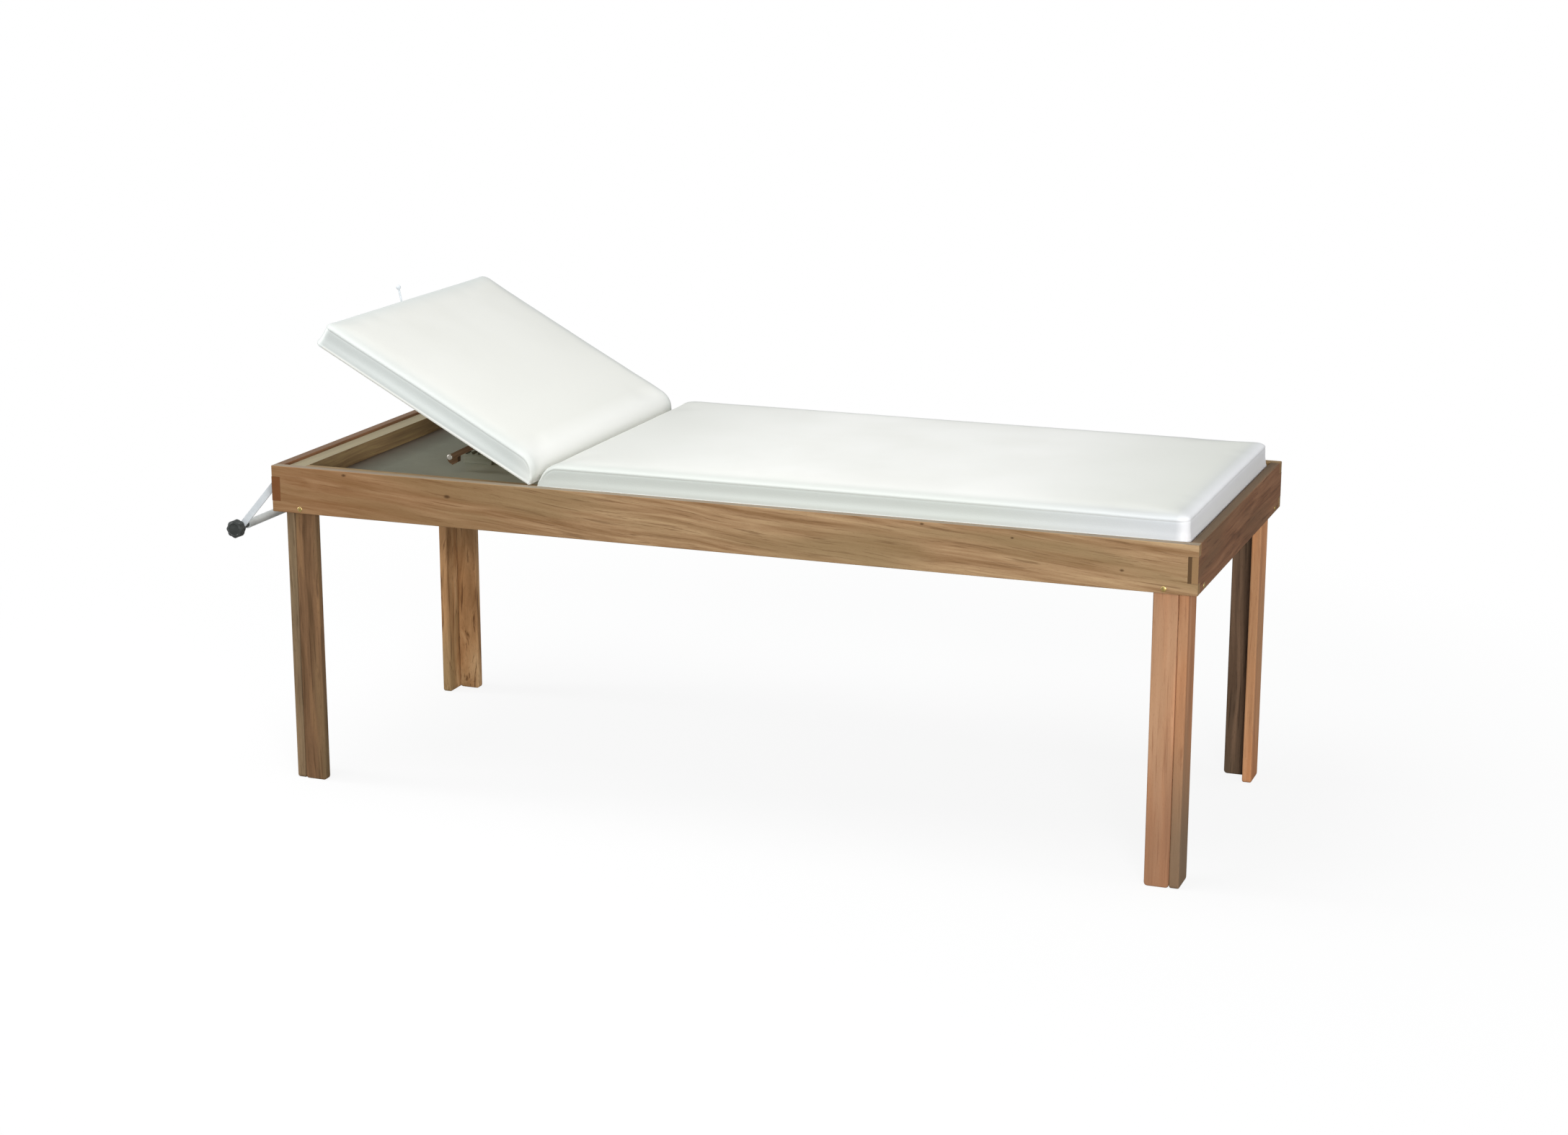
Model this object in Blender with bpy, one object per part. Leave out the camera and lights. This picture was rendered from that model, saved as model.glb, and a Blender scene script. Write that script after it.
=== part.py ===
"""Wooden examination table with a raised, hinged backrest and a paper-roll holder at its head end.

Metres, +Z up. The head end is at -X, the near side at -Y, and the floor at Z = 0.
The empty "table" carries everything, so that the middle of the whole object lies over the origin.
"""

import math

import bmesh
import bpy
from mathutils import Vector

# Frame of four rails
FRAME_LENGTH = 2.000
FRAME_WIDTH = 0.800
RAIL_TOP = 0.700
RAIL_HEIGHT = 0.100
RAIL_THICKNESS = 0.020
FINGER_HEIGHT = 0.052
RAIL_ARRIS = 0.0015

# Battens that carry the pads, and the panel below them
LEDGE_DROP = 0.006
BATTEN_WIDTH = 0.038
BATTEN_HEIGHT = 0.038
BEARER_WIDTH = 0.040
BEARER_OFFSET = 0.055
PANEL_THICKNESS = 0.004

# Legs of two boards each
LEG_BOARD_THICKNESS = 0.020
LEG_END_WIDTH = 0.070
LEG_SIDE_WIDTH = 0.050
LEG_ARRIS = 0.003
LEG_TOE_RADIUS = 0.007

# Brass screws that hold the legs
LEG_SCREW_RISE = 0.009
LEG_SCREW_HEAD_RADIUS = 0.0055
LEG_SCREW_RADIUS = 0.002
LEG_SCREW_BITE = 0.014

# Pads: a plywood board under a covered foam cushion
BOARD_THICKNESS = 0.012
PAD_THICKNESS = 0.052
PAD_CROWN = 0.004
PAD_SIDE_GAP = 0.004
PAD_EDGE_RADIUS = 0.010
PAD_HINGE_RADIUS = 0.045
PAD_CORNER_RADIUS = 0.022
PAD_DRAW_IN = 0.003
COVER_SKIRT = 0.003
PAD_RINGS = (0.0, 0.0008, 0.003, 0.0065, 0.011, 0.018, 0.029, 0.045, 0.100, 0.180, 0.260)
PAD_SHARES = (0.14, 0.30, 0.50, 0.70, 0.86)

# Backrest hinge
BACKREST_REACH = 0.572
BACKREST_HEAD_GAP = 0.008
BACKREST_ANGLE = math.radians(28.5)
BACKREST_MAX_ANGLE = math.radians(42.0)
HINGE_DROP = 0.0075
HINGE_GAP = 0.010
HINGE_LENGTH = 0.080
HINGE_INSET = 0.126
LEAF_WIDTH = 0.036
LEAF_THICKNESS = 0.0018
KNUCKLE_RADIUS = 0.0062
HINGE_PIN_RADIUS = 0.0025
KNUCKLE_SHARE = 0.28

# Prop that carries the raised backrest
PROP_REACH = 0.1735
PROP_PIVOT_DROP = 0.014
PROP_ARM_INSET = 0.250
PROP_ARM_THICKNESS = 0.014
PROP_ARM_ABOVE = 0.006
PROP_ARM_BELOW = 0.007
PROP_ARM_END = 0.010
PROP_HEEL_DROP = 0.017
PROP_HEEL_SLOPE = 0.006
PROP_PIVOT_RADIUS = 0.004
PROP_FOOT_RADIUS = 0.005
PROP_CAP_RADIUS = 0.006
PROP_CAP_LENGTH = 0.006
PROP_CAP_WALL = 0.002
BRACKET_LENGTH = 0.030
BRACKET_WIDTH = 0.024
BRACKET_SHEET = 0.0025
BRACKET_BELOW_PIVOT = 0.009
RACK_WIDTH = 0.026
RACK_SPREAD = 0.100
RACK_NOTCHES = 4
RACK_NOTCH_DEPTH = 0.005
RACK_END = 0.012
RACK_TIP_GAP = 0.0005

# Paper-roll holder
ROLL_REACH = 0.105
ROLL_DROP = 0.152
ROLL_ROD_RADIUS = 0.009
ROLL_STUD_RADIUS = 0.004
ROLL_ARM_INSET = 0.040
ROLL_ARM_SHEET = 0.004
ROLL_ARM_WIDTH = 0.014
ROLL_ARM_TOP_DROP = 0.034
ROLL_TAB_WIDTH = 0.030
ROLL_TAB_HEIGHT = 0.060
ROLL_TAB_TOP_DROP = 0.012
ROLL_BUSH_RADIUS = 0.0065
ROLL_BUSH_LENGTH = 0.022
ROLL_SCREW_SPACING = 0.034
ROLL_SCREW_HEAD_RADIUS = 0.0045
ROLL_SCREW_RADIUS = 0.002
ROLL_SCREW_BITE = 0.014
KNOB_RADIUS = 0.020
KNOB_LOBES = 8
KNOB_LOBE_DEPTH = 0.0012
KNOB_HUB_RADIUS = 0.010
KNOB_HUB_LENGTH = 0.008
KNOB_HEAD_LENGTH = 0.020
KNOB_BORE_LENGTH = 0.018
CAP_NUT_RADIUS = 0.009
CAP_NUT_LENGTH = 0.014
CAP_NUT_BORE = 0.010

# Lifting hook at the middle of the backrest's head end
HOOK_WIRE_RADIUS = 0.0022
HOOK_BALL_RADIUS = 0.0055
HOOK_STANDOFF = 0.0042
HOOK_OUT = 0.028
HOOK_RISE = 0.056
HOOK_SINK = 0.020

# Clearances
GAP = 0.0003
RUNNING_GAP = 0.0005
SCREW_PROUD = 0.0015

# Places that follow from the sizes above
HALF_LENGTH = FRAME_LENGTH / 2
HALF_WIDTH = FRAME_WIDTH / 2
INNER_X = HALF_LENGTH - RAIL_THICKNESS
INNER_Y = HALF_WIDTH - RAIL_THICKNESS
RAIL_BOTTOM = RAIL_TOP - RAIL_HEIGHT
LEDGE_Z = RAIL_TOP - LEDGE_DROP
BATTEN_TOP = LEDGE_Z - GAP
BATTEN_BOTTOM = BATTEN_TOP - BATTEN_HEIGHT
PANEL_TOP = BATTEN_BOTTOM - GAP
PANEL_BOTTOM = PANEL_TOP - PANEL_THICKNESS
LEG_TOP = PANEL_BOTTOM - GAP
HINGE_X = -INNER_X + BACKREST_HEAD_GAP + BACKREST_REACH
HINGE_Z = LEDGE_Z - HINGE_DROP
PAD_HALF_WIDTH = INNER_Y - PAD_SIDE_GAP
SEAT_LENGTH = INNER_X - PAD_SIDE_GAP - HINGE_X - HINGE_GAP
BACKREST_LENGTH = BACKREST_REACH - HINGE_GAP
HINGE_Y = PAD_HALF_WIDTH - HINGE_INSET
PROP_ARM_Y = PAD_HALF_WIDTH - PROP_ARM_INSET
PROP_PIVOT_Z = HINGE_DROP - PROP_PIVOT_DROP
ROLL_X = -HALF_LENGTH - ROLL_REACH
ROLL_Z = RAIL_TOP - ROLL_DROP
ROLL_ARM_Y = HALF_WIDTH - ROLL_ARM_INSET
CENTRE_SHIFT = (ROLL_REACH + KNOB_RADIUS - SCREW_PROUD) / 2
NEAR, FAR = -1, 1
SIDES = (("near", NEAR), ("far", FAR))
ENDS = (("head", -1), ("foot", 1))


def clear_scene():
    """Remove every object of the startup scene."""
    for obj in list(bpy.data.objects):
        bpy.data.objects.remove(obj)


def make_material(name, colour, roughness, metallic=0.0):
    """A Principled material with one colour."""
    material = bpy.data.materials.new(name)
    material.use_nodes = True
    shader = material.node_tree.nodes["Principled BSDF"]
    shader.inputs["Base Color"].default_value = (*colour, 1.0)
    shader.inputs["Roughness"].default_value = roughness
    shader.inputs["Metallic"].default_value = metallic
    return material


def make_materials():
    """The table's materials by name."""
    return {
        "rail_wood": make_material("rail_wood", (0.30, 0.18, 0.09), 0.45),
        "leg_wood": make_material("leg_wood", (0.38, 0.21, 0.12), 0.45),
        "batten_wood": make_material("batten_wood", (0.32, 0.27, 0.17), 0.6),
        "prop_wood": make_material("prop_wood", (0.16, 0.09, 0.05), 0.55),
        "hardboard": make_material("hardboard", (0.15, 0.15, 0.12), 0.7),
        "plywood": make_material("plywood", (0.55, 0.42, 0.26), 0.6),
        "cover": make_material("cover", (0.90, 0.90, 0.86), 0.4),
        "zinc_steel": make_material("zinc_steel", (0.55, 0.56, 0.55), 0.35, 1.0),
        "brass": make_material("brass", (0.68, 0.52, 0.18), 0.3, 1.0),
        "white_enamel": make_material("white_enamel", (0.70, 0.74, 0.75), 0.35),
        "black_plastic": make_material("black_plastic", (0.025, 0.027, 0.025), 0.4),
    }


def add_empty(name, parent=None, location=(0, 0, 0), turn=0.0):
    """An empty, turned about the Y axis, that carries other objects."""
    empty = bpy.data.objects.new(name, None)
    empty.location = location
    empty.rotation_euler = (0, turn, 0)
    empty.parent = parent
    bpy.context.scene.collection.objects.link(empty)
    return empty


def add_object(name, bm, material, parent, location=(0, 0, 0), smooth=False):
    """Turn a bmesh into a named object; round pieces are shaded smooth."""
    bmesh.ops.recalc_face_normals(bm, faces=bm.faces)
    mesh = bpy.data.meshes.new(name)
    bm.to_mesh(mesh)
    bm.free()
    if smooth:
        mesh.shade_smooth()
        mesh.set_sharp_from_angle(angle=math.radians(35))
    if material is not None:
        mesh.materials.append(material)
    obj = bpy.data.objects.new(name, mesh)
    obj.location = location
    obj.parent = parent
    bpy.context.scene.collection.objects.link(obj)
    return obj


def ease_edges(obj, width):
    """Round an object's square edges."""
    bevel = obj.modifiers.new("arris", "BEVEL")
    bevel.width = width
    bevel.segments = 2


def add_box(name, low, high, material, parent, arris=0.0):
    """A box between two corners, with its origin at its middle and its edges eased by arris."""
    low, high = Vector(low), Vector(high)
    size = high - low
    bm = bmesh.new()
    bmesh.ops.create_cube(bm, size=1.0)
    bmesh.ops.scale(bm, vec=size, verts=bm.verts)
    obj = add_object(name, bm, material, parent, (low + high) / 2)
    if arris:
        ease_edges(obj, arris)
    return obj


def loft(rings):
    """A closed bmesh through rings of equally many points, with a flat cap at each end."""
    bm = bmesh.new()
    loops = [[bm.verts.new(point) for point in ring] for ring in rings]
    count = len(loops[0])
    for first, second in zip(loops, loops[1:]):
        for i in range(count):
            j = (i + 1) % count
            bm.faces.new((first[i], first[j], second[j], second[i]))
    bm.faces.new(loops[0])
    bm.faces.new(reversed(loops[-1]))
    return bm


def prism(outline, low, high, axis):
    """A closed bmesh: an outline of point pairs, swept from low to high along "X", "Y" or "Z"."""
    place = {
        "X": lambda a, b, c: (c, a, b),
        "Y": lambda a, b, c: (a, c, b),
        "Z": lambda a, b, c: (a, b, c),
    }[axis]
    return loft([[place(a, b, c) for a, b in outline] for c in (low, high)])


def turned(profile, sides, axis):
    """A closed bmesh turned about "X", "Y" or "Z" from (radius, height) pairs."""
    place = {
        "X": lambda a, b, c: (c, a, b),
        "Y": lambda a, b, c: (a, c, b),
        "Z": lambda a, b, c: (a, b, c),
    }[axis]
    angles = [2 * math.pi * i / sides for i in range(sides)]
    return loft(
        [[place(r * math.cos(t), r * math.sin(t), height) for t in angles] for r, height in profile]
    )


def arc(centre, radius, start, end, steps):
    """Points on an arc, with its angles in degrees."""
    angles = [math.radians(start + (end - start) * i / steps) for i in range(steps + 1)]
    return [(centre[0] + radius * math.cos(t), centre[1] + radius * math.sin(t)) for t in angles]


def apply_tool(target, bm, operation, location=(0, 0, 0)):
    """Cut a tool from an object, or join it on; the tool is placed in the target's parent frame."""
    tool = add_object(f"{target.name}_tool", bm, None, target.parent, location)
    tool.hide_render = True
    tool.display_type = "WIRE"
    boolean = target.modifiers.new(tool.name, "BOOLEAN")
    boolean.operation = operation
    boolean.object = tool
    return tool


def drill(target, centre, radius, length, axis, sides=12):
    """Cut a round hole that runs half its length to each side of its centre."""
    bm = turned([(radius, -length / 2), (radius, length / 2)], sides, axis)
    apply_tool(target, bm, "DIFFERENCE", centre)


def add_dome_screw(name, parent, material, face, axis, out, head_radius, radius, length):
    """A dome-headed screw whose head sits on a face and stands proud of it, along axis in direction out."""
    head_base = GAP
    profile = [
        (radius * 0.4, -length),
        (radius, -length + radius),
        (radius, head_base),
        (head_radius, head_base),
        (head_radius * 0.82, SCREW_PROUD * 0.7),
        (head_radius * 0.35, SCREW_PROUD),
    ]
    profile = [(r, height * out) for r, height in profile]
    add_object(name, turned(profile, 12, axis), material, parent, face, smooth=True)


def add_rails(table, materials):
    """Side rails with an open notch at each end, and end rails whose tongues fill those notches."""
    wood = materials["rail_wood"]
    finger_middle = (RAIL_TOP + RAIL_BOTTOM) / 2
    rails = {}
    for side, way in SIDES:
        faces = sorted((way * INNER_Y, way * HALF_WIDTH))
        rail = add_box(
            f"side_rail_{side}",
            (-HALF_LENGTH, faces[0], RAIL_BOTTOM),
            (HALF_LENGTH, faces[1], RAIL_TOP),
            wood,
            table,
            RAIL_ARRIS,
        )
        notch_height = FINGER_HEIGHT / 2 + GAP
        for _, end in ENDS:
            inner = end * (INNER_X - GAP)
            outer = end * (HALF_LENGTH + RAIL_THICKNESS)
            notch = [
                (inner, finger_middle - notch_height),
                (outer, finger_middle - notch_height),
                (outer, finger_middle + notch_height),
                (inner, finger_middle + notch_height),
            ]
            low, high = faces[0] - RAIL_THICKNESS, faces[1] + RAIL_THICKNESS
            apply_tool(rail, prism(notch, low, high, "Y"), "DIFFERENCE")
        rails[side] = rail
    for end_name, end in ENDS:
        faces = sorted((end * INNER_X, end * HALF_LENGTH))
        rail = add_box(
            f"end_rail_{end_name}",
            (faces[0], -INNER_Y + GAP, RAIL_BOTTOM),
            (faces[1], INNER_Y - GAP, RAIL_TOP),
            wood,
            table,
            RAIL_ARRIS,
        )
        half = FINGER_HEIGHT / 2
        tongue = [
            (-HALF_WIDTH, finger_middle - half),
            (HALF_WIDTH, finger_middle - half),
            (HALF_WIDTH, finger_middle + half),
            (-HALF_WIDTH, finger_middle + half),
        ]
        apply_tool(rail, prism(tongue, faces[0], faces[1], "X"), "UNION")
        rails[end_name] = rail
    return rails


def add_battens(table, materials):
    """The ledge inside the rails, a bearer across it and the thin panel below."""
    wood = materials["batten_wood"]
    for end_name, end in ENDS:
        faces = sorted((end * (INNER_X - GAP), end * (INNER_X - GAP - BATTEN_WIDTH)))
        add_box(
            f"end_batten_{end_name}",
            (faces[0], -INNER_Y + GAP, BATTEN_BOTTOM),
            (faces[1], INNER_Y - GAP, BATTEN_TOP),
            wood,
            table,
        )
    side_end = INNER_X - BATTEN_WIDTH - 2 * GAP
    inner_face = INNER_Y - GAP - BATTEN_WIDTH
    for side, way in SIDES:
        faces = sorted((way * (INNER_Y - GAP), way * inner_face))
        add_box(
            f"side_batten_{side}",
            (-side_end, faces[0], BATTEN_BOTTOM),
            (side_end, faces[1], BATTEN_TOP),
            wood,
            table,
        )
    bearer_x = HINGE_X + BEARER_OFFSET
    add_box(
        "cross_bearer",
        (bearer_x, -inner_face + GAP, BATTEN_BOTTOM),
        (bearer_x + BEARER_WIDTH, inner_face - GAP, BATTEN_TOP),
        wood,
        table,
    )
    add_box(
        "base_panel",
        (-INNER_X + GAP, -INNER_Y + GAP, PANEL_BOTTOM),
        (INNER_X - GAP, INNER_Y - GAP, PANEL_TOP),
        materials["hardboard"],
        table,
    )


def leg_outline(low, high):
    """A leg board's front from low to high, with its two floor corners rounded."""
    r = LEG_TOE_RADIUS
    left_toe = arc((low + r, r), r, 270, 180, 4)
    right_toe = arc((high - r, r), r, 0, -90, 4)
    return left_toe + [(low, LEG_TOP), (high, LEG_TOP)] + right_toe


def add_legs(table, materials, rails):
    """Four legs, each an end board and a side board in an L, with a brass screw through the rail to each."""
    wood, brass = materials["leg_wood"], materials["brass"]
    screw_z = RAIL_BOTTOM + LEG_SCREW_RISE
    screw_length = RAIL_THICKNESS + LEG_SCREW_BITE
    hole = LEG_SCREW_RADIUS + GAP
    hole_length = 2 * (screw_length + GAP)
    end_inner = INNER_X - GAP - LEG_BOARD_THICKNESS
    side_outer = end_inner - GAP
    screw_x = side_outer - LEG_SIDE_WIDTH / 2
    screw_y = INNER_Y - GAP - LEG_END_WIDTH / 2
    for end_name, end in ENDS:
        for side, way in SIDES:
            leg = f"leg_{end_name}_{side}"
            x_faces = sorted((end * (INNER_X - GAP), end * end_inner))
            y_faces = sorted((way * (INNER_Y - GAP), way * (INNER_Y - GAP - LEG_END_WIDTH)))
            end_board = add_object(
                f"{leg}_end_board", prism(leg_outline(*y_faces), *x_faces, "X"), wood, table
            )
            ease_edges(end_board, LEG_ARRIS)
            x_faces = sorted((end * side_outer, end * (side_outer - LEG_SIDE_WIDTH)))
            y_faces = sorted((way * (INNER_Y - GAP), way * (INNER_Y - GAP - LEG_BOARD_THICKNESS)))
            side_board = add_object(
                f"{leg}_side_board", prism(leg_outline(*x_faces), *y_faces, "Y"), wood, table
            )
            ease_edges(side_board, LEG_ARRIS)
            end_face = (end * HALF_LENGTH, way * screw_y, screw_z)
            side_face = (end * screw_x, way * HALF_WIDTH, screw_z)
            for board, rail, face, axis, out, name in (
                (end_board, rails[end_name], end_face, "X", end, f"leg_screw_{end_name}_{side}_end"),
                (side_board, rails[side], side_face, "Y", way, f"leg_screw_{end_name}_{side}_side"),
            ):
                drill(rail, face, hole, hole_length, axis)
                drill(board, face, hole, hole_length, axis)
                add_dome_screw(
                    name, table, brass, face, axis, out, LEG_SCREW_HEAD_RADIUS, LEG_SCREW_RADIUS, screw_length
                )


def pad_ring(length, inset):
    """A pad's plan outline moved in by inset, as (u, v, edge) triples.

    u runs from the hinge end, v across the pad, and edge is the distance to the nearest sewn edge.
    """
    half = PAD_HALF_WIDTH
    radius = max(PAD_CORNER_RADIUS - inset, PAD_CORNER_RADIUS / 5)
    shrink = (length - 2 * inset) / length
    straight = length - PAD_CORNER_RADIUS
    near_hinge = [ring for ring in PAD_RINGS if ring <= PAD_HINGE_RADIUS]
    stations = near_hinge + [straight * share for share in PAD_SHARES if straight * share > PAD_HINGE_RADIUS]
    side = []
    for station in stations:
        draw = PAD_DRAW_IN * math.sin(math.pi * station / length)
        side.append((inset + station * shrink, half - inset - draw, inset))
    corner_centre = (length - inset - radius, half - inset - radius)
    corner = [(u, v, inset) for u, v in arc(corner_centre, radius, 90, 0, 4)]
    far_half = side + corner
    near_half = [(u, -v, edge) for u, v, edge in reversed(far_half)]
    across = [share * (half - inset) for share in (0.5, 0.0, -0.5)]
    far_edge = [(length - inset, v, inset) for v in across]
    hinge_edge = [(inset, -v, half - abs(v)) for v in across]
    return far_half + far_edge + near_half + hinge_edge


def pad_top(u, v, edge, length):
    """Height of a pad's cover above the board's underside."""
    drop = 0.0
    for distance, radius in ((edge, PAD_EDGE_RADIUS), (u, PAD_HINGE_RADIUS)):
        if distance < radius:
            drop = max(drop, radius - math.sqrt(radius**2 - (radius - distance) ** 2))
    past_end = max(u - PAD_HINGE_RADIUS, 0.0) / (length - PAD_HINGE_RADIUS)
    along = 1 - (2 * past_end - 1) ** 4
    across = 1 - (v / PAD_HALF_WIDTH) ** 4
    return PAD_THICKNESS - drop + PAD_CROWN * along * across


def cushion(length, way):
    """A crowned cushion with a pocket for its board, lying from the hinge end along way."""
    pocket_top = BOARD_THICKNESS + GAP
    pocket = pad_ring(length, COVER_SKIRT)
    outline = pad_ring(length, 0.0)
    rings = [
        [(way * u, v, pocket_top) for u, v, _ in pocket],
        [(way * u, v, 0.0) for u, v, _ in pocket],
        [(way * u, v, 0.0) for u, v, _ in outline],
    ]
    for inset in PAD_RINGS:
        rings.append([(way * u, v, pad_top(u, v, edge, length)) for u, v, edge in pad_ring(length, inset)])
    return loft(rings)


def pad_board(length, way):
    """The plywood board that fills the cushion's pocket."""
    outline = [(way * u, v) for u, v, _ in pad_ring(length, COVER_SKIRT + GAP)]
    return prism(outline, 0.0, BOARD_THICKNESS, "Z")


def add_pads(table, backrest, materials):
    """The fixed seat pad and the backrest pad."""
    cover, plywood = materials["cover"], materials["plywood"]
    seat_place = (HINGE_X + HINGE_GAP, 0, LEDGE_Z)
    add_object("seat_board", pad_board(SEAT_LENGTH, 1), plywood, table, seat_place)
    add_object("seat_cushion", cushion(SEAT_LENGTH, 1), cover, table, seat_place, smooth=True)
    back_place = (-HINGE_GAP, 0, HINGE_DROP)
    board = add_object("backrest_board", pad_board(BACKREST_LENGTH, -1), plywood, backrest, back_place)
    pad = add_object(
        "backrest_cushion", cushion(BACKREST_LENGTH, -1), cover, backrest, back_place, smooth=True
    )
    return board, pad


def add_lift_hook(backrest, materials, board, pad):
    """A bent wire with a ball end, held in the board's head edge."""
    wire, ball = HOOK_WIRE_RADIUS, HOOK_BALL_RADIUS
    root_z = HINGE_DROP + BOARD_THICKNESS / 2
    head = -BACKREST_REACH
    elbow_z = root_z + HOOK_STANDOFF
    knee_z = HINGE_DROP + HOOK_RISE - HOOK_OUT
    spine = [(head + HOOK_SINK, root_z)]
    spine += arc((head, elbow_z), HOOK_STANDOFF, 270, 180, 3)
    spine.append((head - HOOK_STANDOFF, knee_z))
    slope = Vector((-(HOOK_OUT - HOOK_STANDOFF), HINGE_DROP + HOOK_RISE - knee_z)).normalized()
    ball_centre = Vector((head - HOOK_OUT, HINGE_DROP + HOOK_RISE))
    radii = [wire] * len(spine)
    for degrees in (156, 130, 100, 70, 40, 15):
        angle = math.radians(degrees)
        spine.append(tuple(ball_centre + slope * (ball * math.cos(angle))))
        radii.append(max(ball * math.sin(angle), wire * 0.6))
    points = [Vector((x, 0, z)) for x, z in spine]
    rings = []
    for i, (point, radius) in enumerate(zip(points, radii)):
        ahead = (points[min(i + 1, len(points) - 1)] - points[max(i - 1, 0)]).normalized()
        across = Vector((0, 1, 0))
        up = ahead.cross(across)
        angles = [2 * math.pi * k / 10 for k in range(10)]
        rings.append([point + radius * (across * math.cos(t) + up * math.sin(t)) for t in angles])
    add_object("lift_hook", loft(rings), materials["white_enamel"], backrest, smooth=True)
    hole = wire + GAP
    depth = 2 * (HOOK_SINK + GAP)
    for target in (board, pad):
        drill(target, (head, 0, root_z), hole, depth, "X", sides=10)


def add_hinges(table, backrest, materials):
    """Two butt hinges under the boards, each with a seat leaf, a backrest leaf and a pin."""
    steel = materials["zinc_steel"]
    leaf_top = HINGE_DROP - GAP
    leaf_bottom = leaf_top - LEAF_THICKNESS
    outer = HINGE_LENGTH * KNUCKLE_SHARE
    half = HINGE_LENGTH / 2
    seat_knuckles = [(-half, -half + outer), (half - outer, half)]
    back_knuckles = [(-half + outer + RUNNING_GAP, half - outer - RUNNING_GAP)]
    plate_start = KNUCKLE_RADIUS + 2 * RUNNING_GAP
    for side, sign in SIDES:
        middle = sign * HINGE_Y
        for leaf, parent, origin, way, knuckles in (
            ("seat", table, (HINGE_X, middle, HINGE_Z), 1, seat_knuckles),
            ("backrest", backrest, (0, middle, 0), -1, back_knuckles),
        ):
            corners = [
                (way * plate_start, leaf_bottom),
                (way * LEAF_WIDTH, leaf_bottom),
                (way * LEAF_WIDTH, leaf_top),
                (way * plate_start, leaf_top),
            ]
            name = f"hinge_{side}_{leaf}_leaf"
            plate = add_object(name, prism(corners, -half, half, "Y"), steel, parent, origin)
            strap = [
                (0, leaf_bottom),
                (way * (plate_start + KNUCKLE_RADIUS), leaf_bottom),
                (way * (plate_start + KNUCKLE_RADIUS), leaf_top),
                (0, leaf_top),
            ]
            for low, high in knuckles:
                apply_tool(plate, prism(strap, low, high, "Y"), "UNION", origin)
                barrel = turned([(KNUCKLE_RADIUS, low), (KNUCKLE_RADIUS, high)], 16, "Y")
                apply_tool(plate, barrel, "UNION", origin)
            drill(plate, origin, HINGE_PIN_RADIUS + GAP, 2 * HINGE_LENGTH, "Y", sides=16)
        tip = HINGE_PIN_RADIUS * 0.7
        pin = [(tip, -half - tip), (HINGE_PIN_RADIUS, -half), (HINGE_PIN_RADIUS, half), (tip, half + tip)]
        pin_place = (HINGE_X, middle, HINGE_Z)
        add_object(f"hinge_{side}_pin", turned(pin, 16, "Y"), steel, table, pin_place, smooth=True)


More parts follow.
